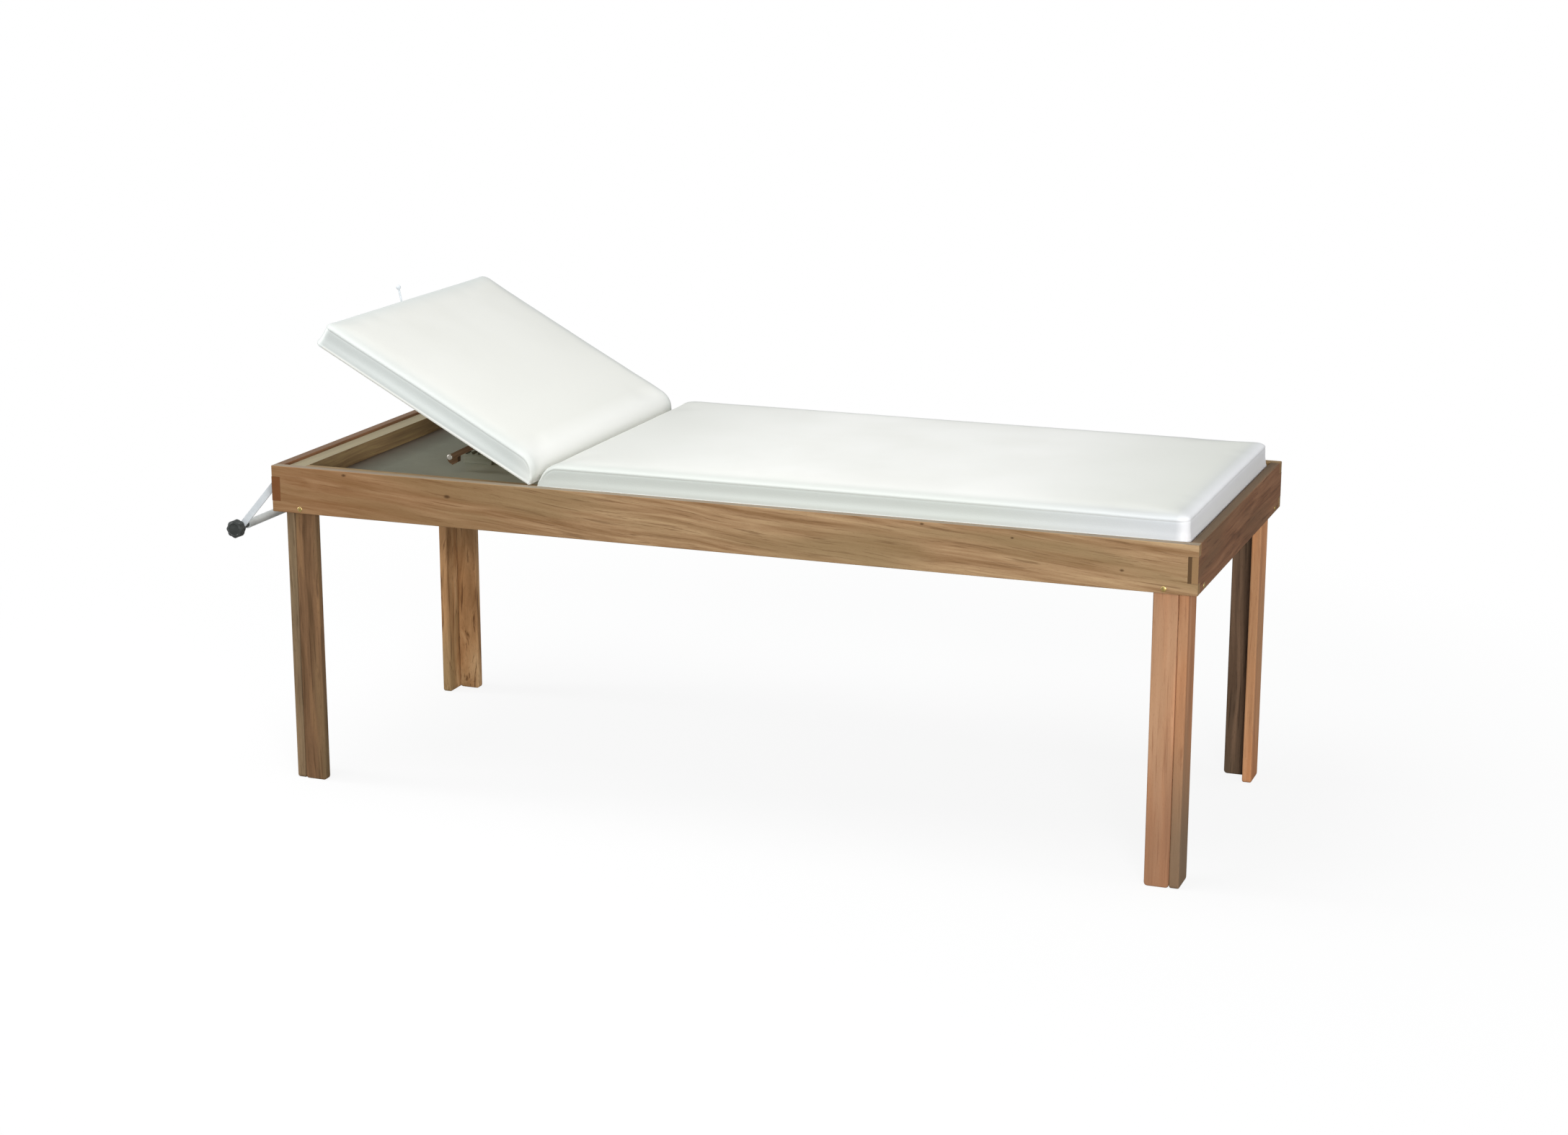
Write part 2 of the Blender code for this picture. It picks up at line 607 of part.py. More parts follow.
def add_prop(backrest, materials):
    """Two wooden arms with a heel that swing on a rod under the backrest and stand on a steel foot rod.

    The foot lies as far from the pivot as the hinge does, so it runs level with the hinge axis.
    """
    steel, wood = materials["zinc_steel"], materials["prop_wood"]
    pivot = (-PROP_REACH, 0, PROP_PIVOT_Z)
    prop = add_empty("prop", backrest, pivot, -2 * BACKREST_ANGLE)
    foot = (-PROP_REACH, 0, -PROP_PIVOT_Z)
    arm_outer = PROP_ARM_Y + PROP_ARM_THICKNESS / 2
    lug_inner = arm_outer + RUNNING_GAP
    lug_outer = lug_inner + BRACKET_SHEET
    base_top = HINGE_DROP - GAP
    rod_end = lug_outer + BRACKET_SHEET
    outline = [
        (PROP_ARM_END, PROP_ARM_ABOVE),
        (foot[0] - PROP_ARM_ABOVE, foot[2] + PROP_ARM_ABOVE),
        (foot[0] - PROP_ARM_END, foot[2]),
        (foot[0] - PROP_ARM_END, foot[2] - PROP_HEEL_DROP / 2),
        (foot[0] - PROP_ARM_END / 2, foot[2] - PROP_HEEL_DROP),
        (foot[0] + PROP_ARM_END, foot[2] - PROP_HEEL_DROP),
        (foot[0] + PROP_ARM_END + PROP_HEEL_SLOPE, foot[2] - PROP_ARM_BELOW),
        (PROP_ARM_END / 2, -PROP_ARM_BELOW),
        (PROP_ARM_END, -PROP_ARM_BELOW / 2),
    ]
    for side, way in SIDES:
        faces = sorted((way * (arm_outer - PROP_ARM_THICKNESS), way * arm_outer))
        arm = add_object(f"prop_arm_{side}", prism(outline, *faces, "Y"), wood, prop)
        middle = way * PROP_ARM_Y
        drill(arm, (0, middle, 0), PROP_PIVOT_RADIUS + GAP, 2 * PROP_ARM_THICKNESS, "Y")
        drill(arm, (foot[0], middle, foot[2]), PROP_FOOT_RADIUS + GAP, 2 * PROP_ARM_THICKNESS, "Y")
        angle = [
            (way * lug_inner, base_top),
            (way * (lug_inner + BRACKET_WIDTH), base_top),
            (way * (lug_inner + BRACKET_WIDTH), base_top - BRACKET_SHEET),
            (way * lug_outer, base_top - BRACKET_SHEET),
            (way * lug_outer, PROP_PIVOT_Z - BRACKET_BELOW_PIVOT),
            (way * lug_inner, PROP_PIVOT_Z - BRACKET_BELOW_PIVOT),
        ]
        low, high = pivot[0] - BRACKET_LENGTH / 2, pivot[0] + BRACKET_LENGTH / 2
        bracket = add_object(f"prop_bracket_{side}", prism(angle, low, high, "X"), steel, backrest)
        hole_place = (pivot[0], way * lug_inner, pivot[2])
        drill(bracket, hole_place, PROP_PIVOT_RADIUS + GAP, 4 * BRACKET_SHEET, "Y")
        shoulder = arm_outer + RUNNING_GAP
        cap_end = shoulder + PROP_CAP_LENGTH
        bore_end = cap_end - PROP_CAP_WALL
        bore = PROP_FOOT_RADIUS + GAP
        cap = [
            (bore, way * bore_end),
            (bore, way * shoulder),
            (PROP_CAP_RADIUS, way * shoulder),
            (PROP_CAP_RADIUS, way * (cap_end - PROP_CAP_WALL / 2)),
            (PROP_FOOT_RADIUS, way * cap_end),
        ]
        add_object(f"prop_rod_cap_{side}", turned(cap, 16, "Y"), steel, prop, foot, smooth=True)
    pivot_rod = [(PROP_PIVOT_RADIUS, -rod_end), (PROP_PIVOT_RADIUS, rod_end)]
    add_object("prop_pivot_rod", turned(pivot_rod, 16, "Y"), steel, backrest, pivot, smooth=True)
    foot_end = arm_outer + RUNNING_GAP + PROP_CAP_LENGTH - PROP_CAP_WALL - GAP
    foot_rod = [(PROP_FOOT_RADIUS, -foot_end), (PROP_FOOT_RADIUS, foot_end)]
    add_object("prop_foot_rod", turned(foot_rod, 16, "Y"), steel, prop, foot, smooth=True)


def foot_distance(angle):
    """Distance from the hinge axis to the foot rod with the backrest at this angle."""
    return 2 * (PROP_REACH * math.cos(angle) - PROP_PIVOT_Z * math.sin(angle))


def add_racks(table, materials):
    """Notched strips on the panel, with a notch at the foot's place for each position of the backrest."""
    first, last = -foot_distance(BACKREST_ANGLE), -foot_distance(BACKREST_MAX_ANGLE)
    pitch = (last - first) / (RACK_NOTCHES - 1)
    tip = HINGE_Z - PROP_FOOT_RADIUS - RACK_TIP_GAP
    root = tip - RACK_NOTCH_DEPTH
    bottom = PANEL_TOP + GAP
    outline = [(first - RACK_END, bottom), (first - RACK_END, tip)]
    for i in range(RACK_NOTCHES):
        notch = first + i * pitch
        outline += [
            (notch - PROP_FOOT_RADIUS - RACK_TIP_GAP, tip),
            (notch - PROP_FOOT_RADIUS, root),
            (notch, root),
            (notch + pitch / 2, tip),
        ]
    outline += [(last + RACK_END, tip), (last + RACK_END, bottom)]
    outer = RACK_SPREAD / 2
    for side, way in SIDES:
        faces = sorted((way * outer, way * (outer - RACK_WIDTH)))
        bm = prism(outline, *faces, "Y")
        add_object(f"prop_rack_{side}", bm, materials["prop_wood"], table, (HINGE_X, 0, 0))


def add_roll_arm(table, materials, rails, side, way):
    """A pressed-steel arm: a tab screwed to the head rail and a bar that carries the rod."""
    enamel, steel = materials["white_enamel"], materials["zinc_steel"]
    back = -HALF_LENGTH - GAP
    tab_top = RAIL_TOP - ROLL_TAB_TOP_DROP
    tab_bottom = tab_top - ROLL_TAB_HEIGHT
    outer = ROLL_ARM_Y + ROLL_ARM_SHEET / 2
    tab = [
        (back - ROLL_ARM_SHEET, way * outer),
        (back, way * outer),
        (back, way * (outer - ROLL_TAB_WIDTH)),
        (back - ROLL_ARM_SHEET, way * (outer - ROLL_TAB_WIDTH)),
    ]
    arm = add_object(f"roll_arm_{side}", prism(tab, tab_bottom, tab_top, "Z"), enamel, table)
    anchor = Vector((back - ROLL_ARM_SHEET / 2, RAIL_TOP - ROLL_ARM_TOP_DROP))
    rod = Vector((ROLL_X, ROLL_Z))
    along = (anchor - rod).normalized()
    half = ROLL_ARM_WIDTH / 2
    across = Vector((-along.y, along.x)) * half
    tilt = math.degrees(math.atan2(along.y, along.x))
    bar = arc(rod, half, tilt + 90, tilt + 270, 8)
    for edge in (rod - across, rod + across):
        bar.append(tuple(edge + along * ((anchor.x - edge.x) / along.x)))
    faces = sorted((way * (outer - ROLL_ARM_SHEET), way * outer))
    apply_tool(arm, prism(bar, *faces, "Y"), "UNION")
    stud_place = (ROLL_X, way * ROLL_ARM_Y, ROLL_Z)
    drill(arm, stud_place, ROLL_STUD_RADIUS + GAP, 4 * ROLL_ARM_SHEET, "Y", sides=16)
    screw_y = way * (outer - ROLL_ARM_SHEET - (ROLL_TAB_WIDTH - ROLL_ARM_SHEET) / 2)
    tab_middle = (tab_top + tab_bottom) / 2
    for place, step in (("upper", 0.5), ("lower", -0.5)):
        face = (back - ROLL_ARM_SHEET, screw_y, tab_middle + step * ROLL_SCREW_SPACING)
        length = ROLL_ARM_SHEET + GAP + ROLL_SCREW_BITE
        for target in (arm, rails["head"]):
            drill(target, face, ROLL_SCREW_RADIUS + GAP, 2 * (length + GAP), "X")
        add_dome_screw(
            f"roll_arm_screw_{side}_{place}",
            table,
            steel,
            face,
            "X",
            -1,
            ROLL_SCREW_HEAD_RADIUS,
            ROLL_SCREW_RADIUS,
            length,
        )


def knob_rings(start):
    """Rings of a lobed knob that points along -Y from start, with a blind bore for the rod's stud."""
    bore = ROLL_STUD_RADIUS + GAP
    hub_end = KNOB_HUB_LENGTH
    tip = KNOB_HUB_LENGTH + KNOB_HEAD_LENGTH
    inner = KNOB_RADIUS - KNOB_LOBE_DEPTH
    stages = [
        (bore, KNOB_BORE_LENGTH, 0.0),
        (bore, 0.0, 0.0),
        (KNOB_HUB_RADIUS, 0.0, 0.0),
        (KNOB_HUB_RADIUS, hub_end, 0.0),
        (inner - KNOB_LOBE_DEPTH, hub_end, 0.6),
        (inner, hub_end + KNOB_HEAD_LENGTH * 0.2, 1.0),
        (inner, tip - KNOB_HEAD_LENGTH * 0.25, 1.0),
        (inner - KNOB_LOBE_DEPTH, tip - KNOB_HEAD_LENGTH * 0.08, 0.8),
        (inner * 0.72, tip, 0.2),
        (inner * 0.66, tip - KNOB_LOBE_DEPTH, 0.0),
    ]
    angles = [2 * math.pi * i / (6 * KNOB_LOBES) for i in range(6 * KNOB_LOBES)]
    rings = []
    for radius, depth, lobe in stages:
        swell = [radius + lobe * KNOB_LOBE_DEPTH * math.cos(KNOB_LOBES * t) for t in angles]
        rings.append([(r * math.cos(t), start - depth, r * math.sin(t)) for r, t in zip(swell, angles)])
    return rings


def add_roll_holder(table, materials, rails):
    """The paper-roll rod between its two arms, with a knob at the near end and a cap nut at the far end."""
    for side, way in SIDES:
        add_roll_arm(table, materials, rails, side, way)
    rod_empty = add_empty("roll_axis", table, (ROLL_X, 0, ROLL_Z))
    arm_inner = ROLL_ARM_Y - ROLL_ARM_SHEET / 2
    arm_outer = ROLL_ARM_Y + ROLL_ARM_SHEET / 2
    bush_outer = arm_inner - RUNNING_GAP
    shoulder = bush_outer - ROLL_BUSH_LENGTH - GAP
    knob_start = arm_outer + RUNNING_GAP
    near_tip = knob_start + KNOB_BORE_LENGTH - RUNNING_GAP
    far_tip = knob_start + CAP_NUT_BORE - RUNNING_GAP
    rod = [
        (ROLL_STUD_RADIUS, -near_tip),
        (ROLL_STUD_RADIUS, -shoulder),
        (ROLL_ROD_RADIUS, -shoulder),
        (ROLL_ROD_RADIUS, shoulder),
        (ROLL_STUD_RADIUS, shoulder),
        (ROLL_STUD_RADIUS, far_tip),
    ]
    steel, plastic = materials["zinc_steel"], materials["black_plastic"]
    add_object("roll_rod", turned(rod, 20, "Y"), steel, rod_empty, smooth=True)
    hole = ROLL_STUD_RADIUS + GAP
    for side, way in SIDES:
        inner, outer = way * (bush_outer - ROLL_BUSH_LENGTH), way * bush_outer
        bm = turned([(ROLL_BUSH_RADIUS, inner), (ROLL_BUSH_RADIUS, outer)], 20, "Y")
        bush = add_object(f"roll_bush_{side}", bm, plastic, rod_empty, smooth=True)
        drill(bush, (0, (inner + outer) / 2, 0), hole, 4 * ROLL_BUSH_LENGTH, "Y", sides=16)
    add_object("roll_knob", loft(knob_rings(-knob_start)), plastic, rod_empty, smooth=True)
    end = knob_start + CAP_NUT_LENGTH
    nut = [
        (hole, knob_start + CAP_NUT_BORE),
        (hole, knob_start),
        (CAP_NUT_RADIUS, knob_start),
        (CAP_NUT_RADIUS, knob_start + CAP_NUT_LENGTH * 0.5),
        (CAP_NUT_RADIUS * 0.8, knob_start + CAP_NUT_LENGTH * 0.85),
        (CAP_NUT_RADIUS * 0.35, end),
    ]
    add_object("roll_cap_nut", turned(nut, 16, "Y"), steel, rod_empty, smooth=True)


def main():
    """Build the table."""
    clear_scene()
    materials = make_materials()
    table = add_empty("table", location=(CENTRE_SHIFT, 0, 0))
    backrest = add_empty("backrest", table, (HINGE_X, 0, HINGE_Z), BACKREST_ANGLE)
    rails = add_rails(table, materials)
    add_battens(table, materials)
    add_legs(table, materials, rails)
    board, pad = add_pads(table, backrest, materials)
    add_lift_hook(backrest, materials, board, pad)
    add_hinges(table, backrest, materials)
    add_prop(backrest, materials)
    add_racks(table, materials)
    add_roll_holder(table, materials, rails)


if __name__ == "__main__":
    main()
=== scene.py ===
"""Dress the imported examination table: timber, covered pads, fittings, studio light and camera.

Metres, +Z up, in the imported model's own frame: the head end at -X, the near side at -Y, the floor at Z = 0.
"""

from __future__ import annotations

import logging
import math
from collections.abc import Iterable, Sequence
from dataclasses import dataclass, replace
from enum import Enum
from typing import Any

import bmesh
import bpy
import numpy as np
from bpy.types import Material, Node, NodeOutputs, NodeSocket, NodeTree, Object
from mathutils import Matrix, Vector, kdtree, noise

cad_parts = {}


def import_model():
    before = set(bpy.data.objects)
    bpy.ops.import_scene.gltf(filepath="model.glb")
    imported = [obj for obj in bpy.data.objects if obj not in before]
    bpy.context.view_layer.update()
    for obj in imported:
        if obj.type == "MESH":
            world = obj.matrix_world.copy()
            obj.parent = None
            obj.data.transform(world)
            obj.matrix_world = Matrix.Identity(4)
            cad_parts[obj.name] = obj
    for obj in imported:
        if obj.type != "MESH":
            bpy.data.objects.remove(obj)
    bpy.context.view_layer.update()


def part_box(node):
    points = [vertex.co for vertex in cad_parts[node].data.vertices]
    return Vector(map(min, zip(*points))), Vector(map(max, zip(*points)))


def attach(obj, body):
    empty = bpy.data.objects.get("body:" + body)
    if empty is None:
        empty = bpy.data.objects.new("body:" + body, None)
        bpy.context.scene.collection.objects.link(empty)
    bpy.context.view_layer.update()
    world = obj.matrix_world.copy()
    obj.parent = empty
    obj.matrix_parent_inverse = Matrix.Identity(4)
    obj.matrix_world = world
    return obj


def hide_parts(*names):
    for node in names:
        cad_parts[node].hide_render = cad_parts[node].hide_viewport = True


LOG = logging.getLogger("examination_table")
MM = 0.001

# Places that the solids were built from
HINGE_AXIS = Vector((-0.33825, 0.0, 0.6865))
HINGE_DROP = 0.0075
HINGE_GAP = 0.010
HINGE_Y = 0.250
BACKREST_ANGLE = math.radians(28.5)
BACKREST_LENGTH = 0.562
BACKREST_FRAME = Matrix.Translation(HINGE_AXIS) @ Matrix.Rotation(BACKREST_ANGLE, 4, "Y")
HALF_TURN = Matrix.Rotation(math.pi, 4, "Z")
SCREW_PROUD = 0.0015
# The gap between a board's underside and the fittings under it
FITTING_GAP = 0.0003
LEAF_THICKNESS = 0.0018
LEAF_UNDERSIDE = HINGE_DROP - FITTING_GAP - LEAF_THICKNESS
# Screws of a hinge leaf: their distance from the hinge axis, and their place along it
LEAF_SCREWS = ((0.017, -0.027), (0.027, 0.0), (0.017, 0.027))
BRACKET_X = -0.1735
BRACKET_SCREW_Y = 0.1475
BRACKET_SCREW_STEP = 0.009
BRACKET_THICKNESS = 0.0025
BRACKET_UNDERSIDE = HINGE_DROP - FITTING_GAP - BRACKET_THICKNESS
# Staples along the sides start past the bearer under the seat, and past the backrest's hinge leaves
SEAT_STAPLE_START = 0.110
BACKREST_STAPLE_START = 0.060
# Nearer than this a point of a pad's cover counts as on its foot or on its seam
TOUCH = 1e-6
# Inputs of a Mix node that blends colours
SHARE, COLOUR, OTHER = 0, 6, 7


def linear(colour: str) -> tuple[float, float, float, float]:
    """Turn an sRGB hex colour into linear RGBA.

    Args:
        colour: Six hex digits after a hash sign.

    Returns:
        Linear red, green and blue, with alpha 1.
    """
    channels = [int(colour[i : i + 2], 16) / 255 for i in (1, 3, 5)]
    values = [c / 12.92 if c <= 0.04045 else ((c + 0.055) / 1.055) ** 2.4 for c in channels]
    return (values[0], values[1], values[2], 1.0)


def ease(share: Any) -> Any:
    """Ease a share from 0 to 1 in and out."""
    return share**2 * (3 - 2 * share)


def feed(tree: NodeTree, node: Node, inputs: dict[str | int, Any]) -> None:
    """Set a node's inputs.

    Args:
        tree: The tree that the node is in.
        node: The node.
        inputs: For each input by name or number a constant, an output, a node whose first output in use is
            linked, or a list of these for an input that takes several links.
    """
    for key, value in inputs.items():
        for source in value if isinstance(value, list) else [value]:
            if isinstance(source, Node):
                source = next(output for output in source.outputs if output.enabled)
            if isinstance(source, NodeSocket):
                tree.links.new(source, node.inputs[key])
            else:
                node.inputs[key].default_value = source


def add_node(
    tree: NodeTree,
    kind: str,
    inputs: dict[str | int, Any] | None = None,
    stops: Sequence[tuple[float, str]] = (),
    **settings: Any,
) -> Node:
    """Add a node with its settings, constants and links.

    Args:
        tree: The tree that the node goes into.
        kind: Blender's name of the node's type.
        inputs: What goes into its inputs.
        stops: Places and hex colours of a colour ramp.
        settings: The node's own properties.

    Returns:
        The new node.
    """
    node = tree.nodes.new(kind)
    for name, value in settings.items():
        setattr(node, name, value)
    feed(tree, node, inputs or {})
    for i, (place, colour) in enumerate(stops):
        elements = node.color_ramp.elements
        element = elements[i] if i < 2 else elements.new(place)
        element.position = place
        element.color = linear(colour)
    return node


def tint(
    tree: NodeTree,
    colour: Any,
    other: str,
    value: Any,
    reach: tuple[float, float],
    share: float = 1.0,
    curve: str = "LINEAR",
) -> Node:
    """Blend a colour into another as a value runs through a reach.

    Args:
        tree: The material's tree.
        colour: The colour.
        other: The hex colour that is blended in.
        value: The value.
        reach: The values at which the blend starts and ends.
        share: The other colour's share at the end.
        curve: Blender's name of the way from start to end.

    Returns:
        The blended colour.
    """
    low, high = reach
    scale = {"Value": value, "From Min": low, "From Max": high, "To Max": share}
    amount = add_node(tree, "ShaderNodeMapRange", scale, interpolation_type=curve)
    blend = {SHARE: amount, COLOUR: colour, OTHER: linear(other)}
    return add_node(tree, "ShaderNodeMix", blend, data_type="RGBA")


def new_material(name: str) -> tuple[Material, NodeTree, Node]:
    """Start a material.

    Args:
        name: The material's name.

    Returns:
        The material, its node tree and its texture coordinates.
    """
    material = bpy.data.materials.new(name)
    material.use_nodes = True
    return material, material.node_tree, add_node(material.node_tree, "ShaderNodeTexCoord")


def finish_surface(
    tree: NodeTree,
    colour: Node,
    gloss: Node,
    roughness: tuple[float, float],
    height: Node,
    relief: tuple[float, float],
) -> Node:
    """Link a material's colour, gloss and relief to its shader.

    Args:
        tree: The material's tree.
        colour: The colour.
        gloss: The pattern that the roughness follows.
        roughness: The least and the greatest roughness.
        height: The pattern of the relief.
        relief: The relief's strength and depth.

    Returns:
        The shader.
    """
    low, high = roughness
    strength, depth = relief
    rough = add_node(tree, "ShaderNodeMapRange", {"Value": gloss, "To Min": low, "To Max": high})
    bump = add_node(tree, "ShaderNodeBump", {"Height": height, "Strength": strength, "Distance": depth})
    shader = tree.nodes["Principled BSDF"]
    feed(tree, shader, {"Base Color": colour, "Roughness": rough, "Normal": bump})
    return shader


def add_block(tree: NodeTree, size: Sequence[Any], place: Sequence[Any]) -> Node:
    """Add a box to a geometry tree.

    Args:
        tree: The tree.
        size: Its lengths along X, Y and Z.
        place: Its middle.

    Returns:
        The placed box.
    """
    lengths = add_node(tree, "ShaderNodeCombineXYZ", dict(zip("XYZ", size)))
    middle = add_node(tree, "ShaderNodeCombineXYZ", dict(zip("XYZ", place)))
    block = add_node(tree, "GeometryNodeMeshCube", {"Size": lengths})
    return add_node(tree, "GeometryNodeTransform", {"Geometry": block, "Translation": middle})


def add_mesh(
    name: str,
    points: Iterable[Sequence[float]],
    faces: Iterable[Sequence[int]],
    material: Material | None = None,
) -> Object:
    """Make a smooth-shaded mesh object at the origin.

    Args:
        name: The object's name.
        points: Its vertices.
        faces: Vertex numbers of each face.
        material: Its material, if it has one.

    Returns:
        The new object, linked to the scene.
    """
    mesh = bpy.data.meshes.new(name)
    mesh.from_pydata([tuple(p) for p in points], [], [tuple(f) for f in faces])
    if material is not None:
        mesh.materials.append(material)
    mesh.shade_smooth()
    obj = bpy.data.objects.new(name, mesh)
    bpy.context.scene.collection.objects.link(obj)
    return obj


def bake_modifiers(obj: Object) -> None:
    """Replace an object's mesh by what its modifiers make of it, and remove them.

    Args:
        obj: The object.
    """
    graph = bpy.context.evaluated_depsgraph_get()
    baked = bpy.data.meshes.new_from_object(obj.evaluated_get(graph), depsgraph=graph)
    obj.modifiers.clear()
    old = obj.data
    obj.data = baked
    bpy.data.meshes.remove(old)
    baked.name = obj.name


def dress(node: str, material: Material) -> None:
    """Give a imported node's object its finish.

    Args:
        node: The node's name.
        material: The finish.
    """
    obj = bpy.data.objects[node]
    if obj.material_slots:
        obj.material_slots[0].material = material
    else:
        obj.data.materials.append(material)


class Grain(Enum):
    """The way that a board's grain runs, as the turn that brings it to X."""

    ALONG = (0.0, 0.0, 0.0)
    SLANTED = (0.0, -0.085, 0.0)
    ACROSS = (0.0, 0.0, -math.pi / 2)
    UPRIGHT = (0.0, math.pi / 2, 0.0)
    BACKREST = (0.0, -BACKREST_ANGLE, 0.0)
    PROP = (0.0, BACKREST_ANGLE, 0.0)


@dataclass(frozen=True)
class Mark:
    """A soft-edged mark on a board's face: a pin knot, a darker stretch, or painted shade."""

    place: tuple[float, float, float]
    radius: float
    colour: str = "#44290F"
    share: float = 0.75
    core: float = 0.2
    squash: tuple[float, float, float] = (0.6, 1.0, 1.0)


@dataclass(frozen=True)
class Board:
    """How one board was cut: its grain's way, its place in the log, its marks, open joint, and the painted
    light and shade on its top face.
    """

    node: str
    grain: Grain
    seed: float
    marks: tuple[Mark, ...] = ()
    joint_x: float | None = None
    painted_top_shading: str | None = None


@dataclass(frozen=True)
class TimberFinish:
    """Planed solid timber under a thin satin lacquer.

    The eye sees wavy darker and lighter bands along the board, olive and warm patches, thin dark streaks,
    short open pores, a plainer end grain, and a soft broad gloss.
    """

    name: str
    dark: str
    middle: str
    light: str
    cool: str
    streak: str
    end_grain: str
    figure_mm: float = 12.0
    streak_mm: float = 4.5
    streak_share: float = 0.55
    sway_mm: float = 45.0
    roughness: tuple[float, float] = (0.52, 0.66)
    # Real pores are a few tenths of a millimetre wide, so they are drawn wider to show at all
    pore_mm: float = 1.3
    relief: tuple[float, float] = (0.22, 0.0005)
    wander_per_m: tuple[float, float, float] = (1.9, 6.0, 6.0)
    specular: float = 0.22
    open_joint: str = "#4E3720"
    joint_width: float = 0.0012

    def _layers(self, tree: NodeTree, log: Node) -> dict[str, Node]:
        """Draw the noise patterns that the grain is made of.

        Args:
            tree: The material's tree.
            log: Places in the log, with the grain along X.

        Returns:
            The patterns by name.
        """
        slow = add_node(tree, "ShaderNodeVectorMath", {0: log, 1: self.wander_per_m}, operation="MULTIPLY")
        wander = add_node(tree, "ShaderNodeTexNoise", {"Vector": slow, "Scale": 1.0, "Detail": 2.0})
        width = (0.0, self.sway_mm * MM, self.sway_mm * MM)
        bent = {0: wander.outputs["Color"], 1: width, 2: log}
        sway = add_node(tree, "ShaderNodeVectorMath", bent, operation="MULTIPLY_ADD")
        layers = {}
        for layer, length_mm, width_mm, detail in (
            ("tone", 520.0, 75.0, 2.0),
            ("figure", 340.0, self.figure_mm, 4.0),
            ("streak", 150.0, self.streak_mm, 3.0),
            ("pore", 11.0, self.pore_mm, 2.0),
        ):
            scale = (1 / (length_mm * MM), 1 / (width_mm * MM), 1 / (width_mm * MM))
            drawn = add_node(tree, "ShaderNodeVectorMath", {0: sway, 1: scale}, operation="MULTIPLY")
            pattern = {"Vector": drawn, "Scale": 1.0, "Detail": detail, "Roughness": 0.58}
            layers[layer] = add_node(tree, "ShaderNodeTexNoise", pattern)
        return layers

    def _face(self, tree: NodeTree, place: NodeSocket, board: Board, layers: dict[str, Node]) -> Node:
        """Colour the board's long faces, with its marks.

        Args:
            tree: The material's tree.
            place: Places on the board.
            board: The board.
            layers: The grain's patterns.

        Returns:
            The colour.
        """
        stops = ((0.30, self.dark), (0.70, self.light), (0.50, self.middle))
        colour = add_node(tree, "ShaderNodeValToRGB", {"Fac": layers["figure"]}, stops)
        for layer, reach, share, other in (
            ("tone", (0.42, 0.66), 0.75, self.cool),
            ("streak", (0.54, 0.70), self.streak_share, self.streak),
            ("pore", (0.55, 0.75), 0.30, self.streak),
        ):
            colour = tint(tree, colour, other, layers[layer], reach, share, "SMOOTHSTEP")
        for mark in board.marks:
            off = add_node(tree, "ShaderNodeVectorMath", {0: place, 1: mark.place}, operation="SUBTRACT")
            oval = add_node(tree, "ShaderNodeVectorMath", {0: off, 1: mark.squash}, operation="MULTIPLY")
            away = add_node(tree, "ShaderNodeVectorMath", {0: oval}, operation="LENGTH")
            reach = (mark.radius, mark.core * mark.radius)
            colour = tint(tree, colour, mark.colour, away, reach, mark.share, "SMOOTHSTEP")
        return colour

    def _ends(self, tree: NodeTree, coords: Node, board: Board, colour: Node) -> Node:
        """Colour the board's sawn ends, with a dark line where its joint stands open.

        Args:
            tree: The material's tree.
            coords: The texture coordinates.
            board: The board.
            colour: The colour of its long faces.

        Returns:
            The colour with the ends.
        """
        _, turn_y, turn_z = board.grain.value
        axis = Matrix.Rotation(-turn_z, 3, "Z") @ Matrix.Rotation(-turn_y, 3, "Y") @ Vector((1.0, 0.0, 0.0))
        faced = {0: coords.outputs["Normal"], 1: axis}
        facing = add_node(tree, "ShaderNodeVectorMath", faced, operation="DOT_PRODUCT")
        steep = add_node(tree, "ShaderNodeMath", {0: facing}, operation="ABSOLUTE")
        scale = {"Value": steep, "From Min": 0.70, "From Max": 0.95, "To Max": 0.85}
        sawn = add_node(tree, "ShaderNodeMapRange", scale, interpolation_type="SMOOTHSTEP")
        end_grain = {SHARE: sawn, COLOUR: colour, OTHER: linear(self.end_grain)}
        ended = add_node(tree, "ShaderNodeMix", end_grain, data_type="RGBA")
        if board.joint_x is None:
            return ended
        place = add_node(tree, "ShaderNodeSeparateXYZ", {0: coords.outputs["Object"]})
        edge = board.joint_x + self.joint_width
        scale = {"Value": place.outputs["X"], "From Min": edge, "From Max": board.joint_x}
        inner = add_node(tree, "ShaderNodeMapRange", scale)
        gap = add_node(tree, "ShaderNodeMath", {0: inner, 1: sawn}, operation="MULTIPLY")
        line = {SHARE: gap, COLOUR: ended, OTHER: linear(self.open_joint)}
        return add_node(tree, "ShaderNodeMix", line, data_type="RGBA")

    def material(self, board: Board) -> Material:
        """Make the finish of one board.

        Args:
            board: How it was cut.

        Returns:
            The board's material.
        """
        material, tree, coords = new_material(f"{self.name}_{board.node}")
        place = coords.outputs["Object"]
        start = (board.seed, 1.7 * board.seed, 0.6 * board.seed)
        cut = {"Vector": place, "Rotation": board.grain.value, "Location": start}
        layers = self._layers(tree, add_node(tree, "ShaderNodeMapping", cut))
        colour = self._face(tree, place, board, layers)
        colour = self._ends(tree, coords, board, colour)
        # Upward faces take a lighter or darker colour as painted light and shade
        if board.painted_top_shading is not None:
            facing = add_node(tree, "ShaderNodeSeparateXYZ", {0: coords.outputs["Normal"]})
            colour = tint(tree, colour, board.painted_top_shading, facing.outputs["Z"], (0.80, 0.95), 0.75)
        figure, pore = layers["figure"], layers["pore"]
        shader = finish_surface(tree, colour, figure, self.roughness, pore, self.relief)
        shader.inputs["Specular IOR Level"].default_value = self.specular
        return material

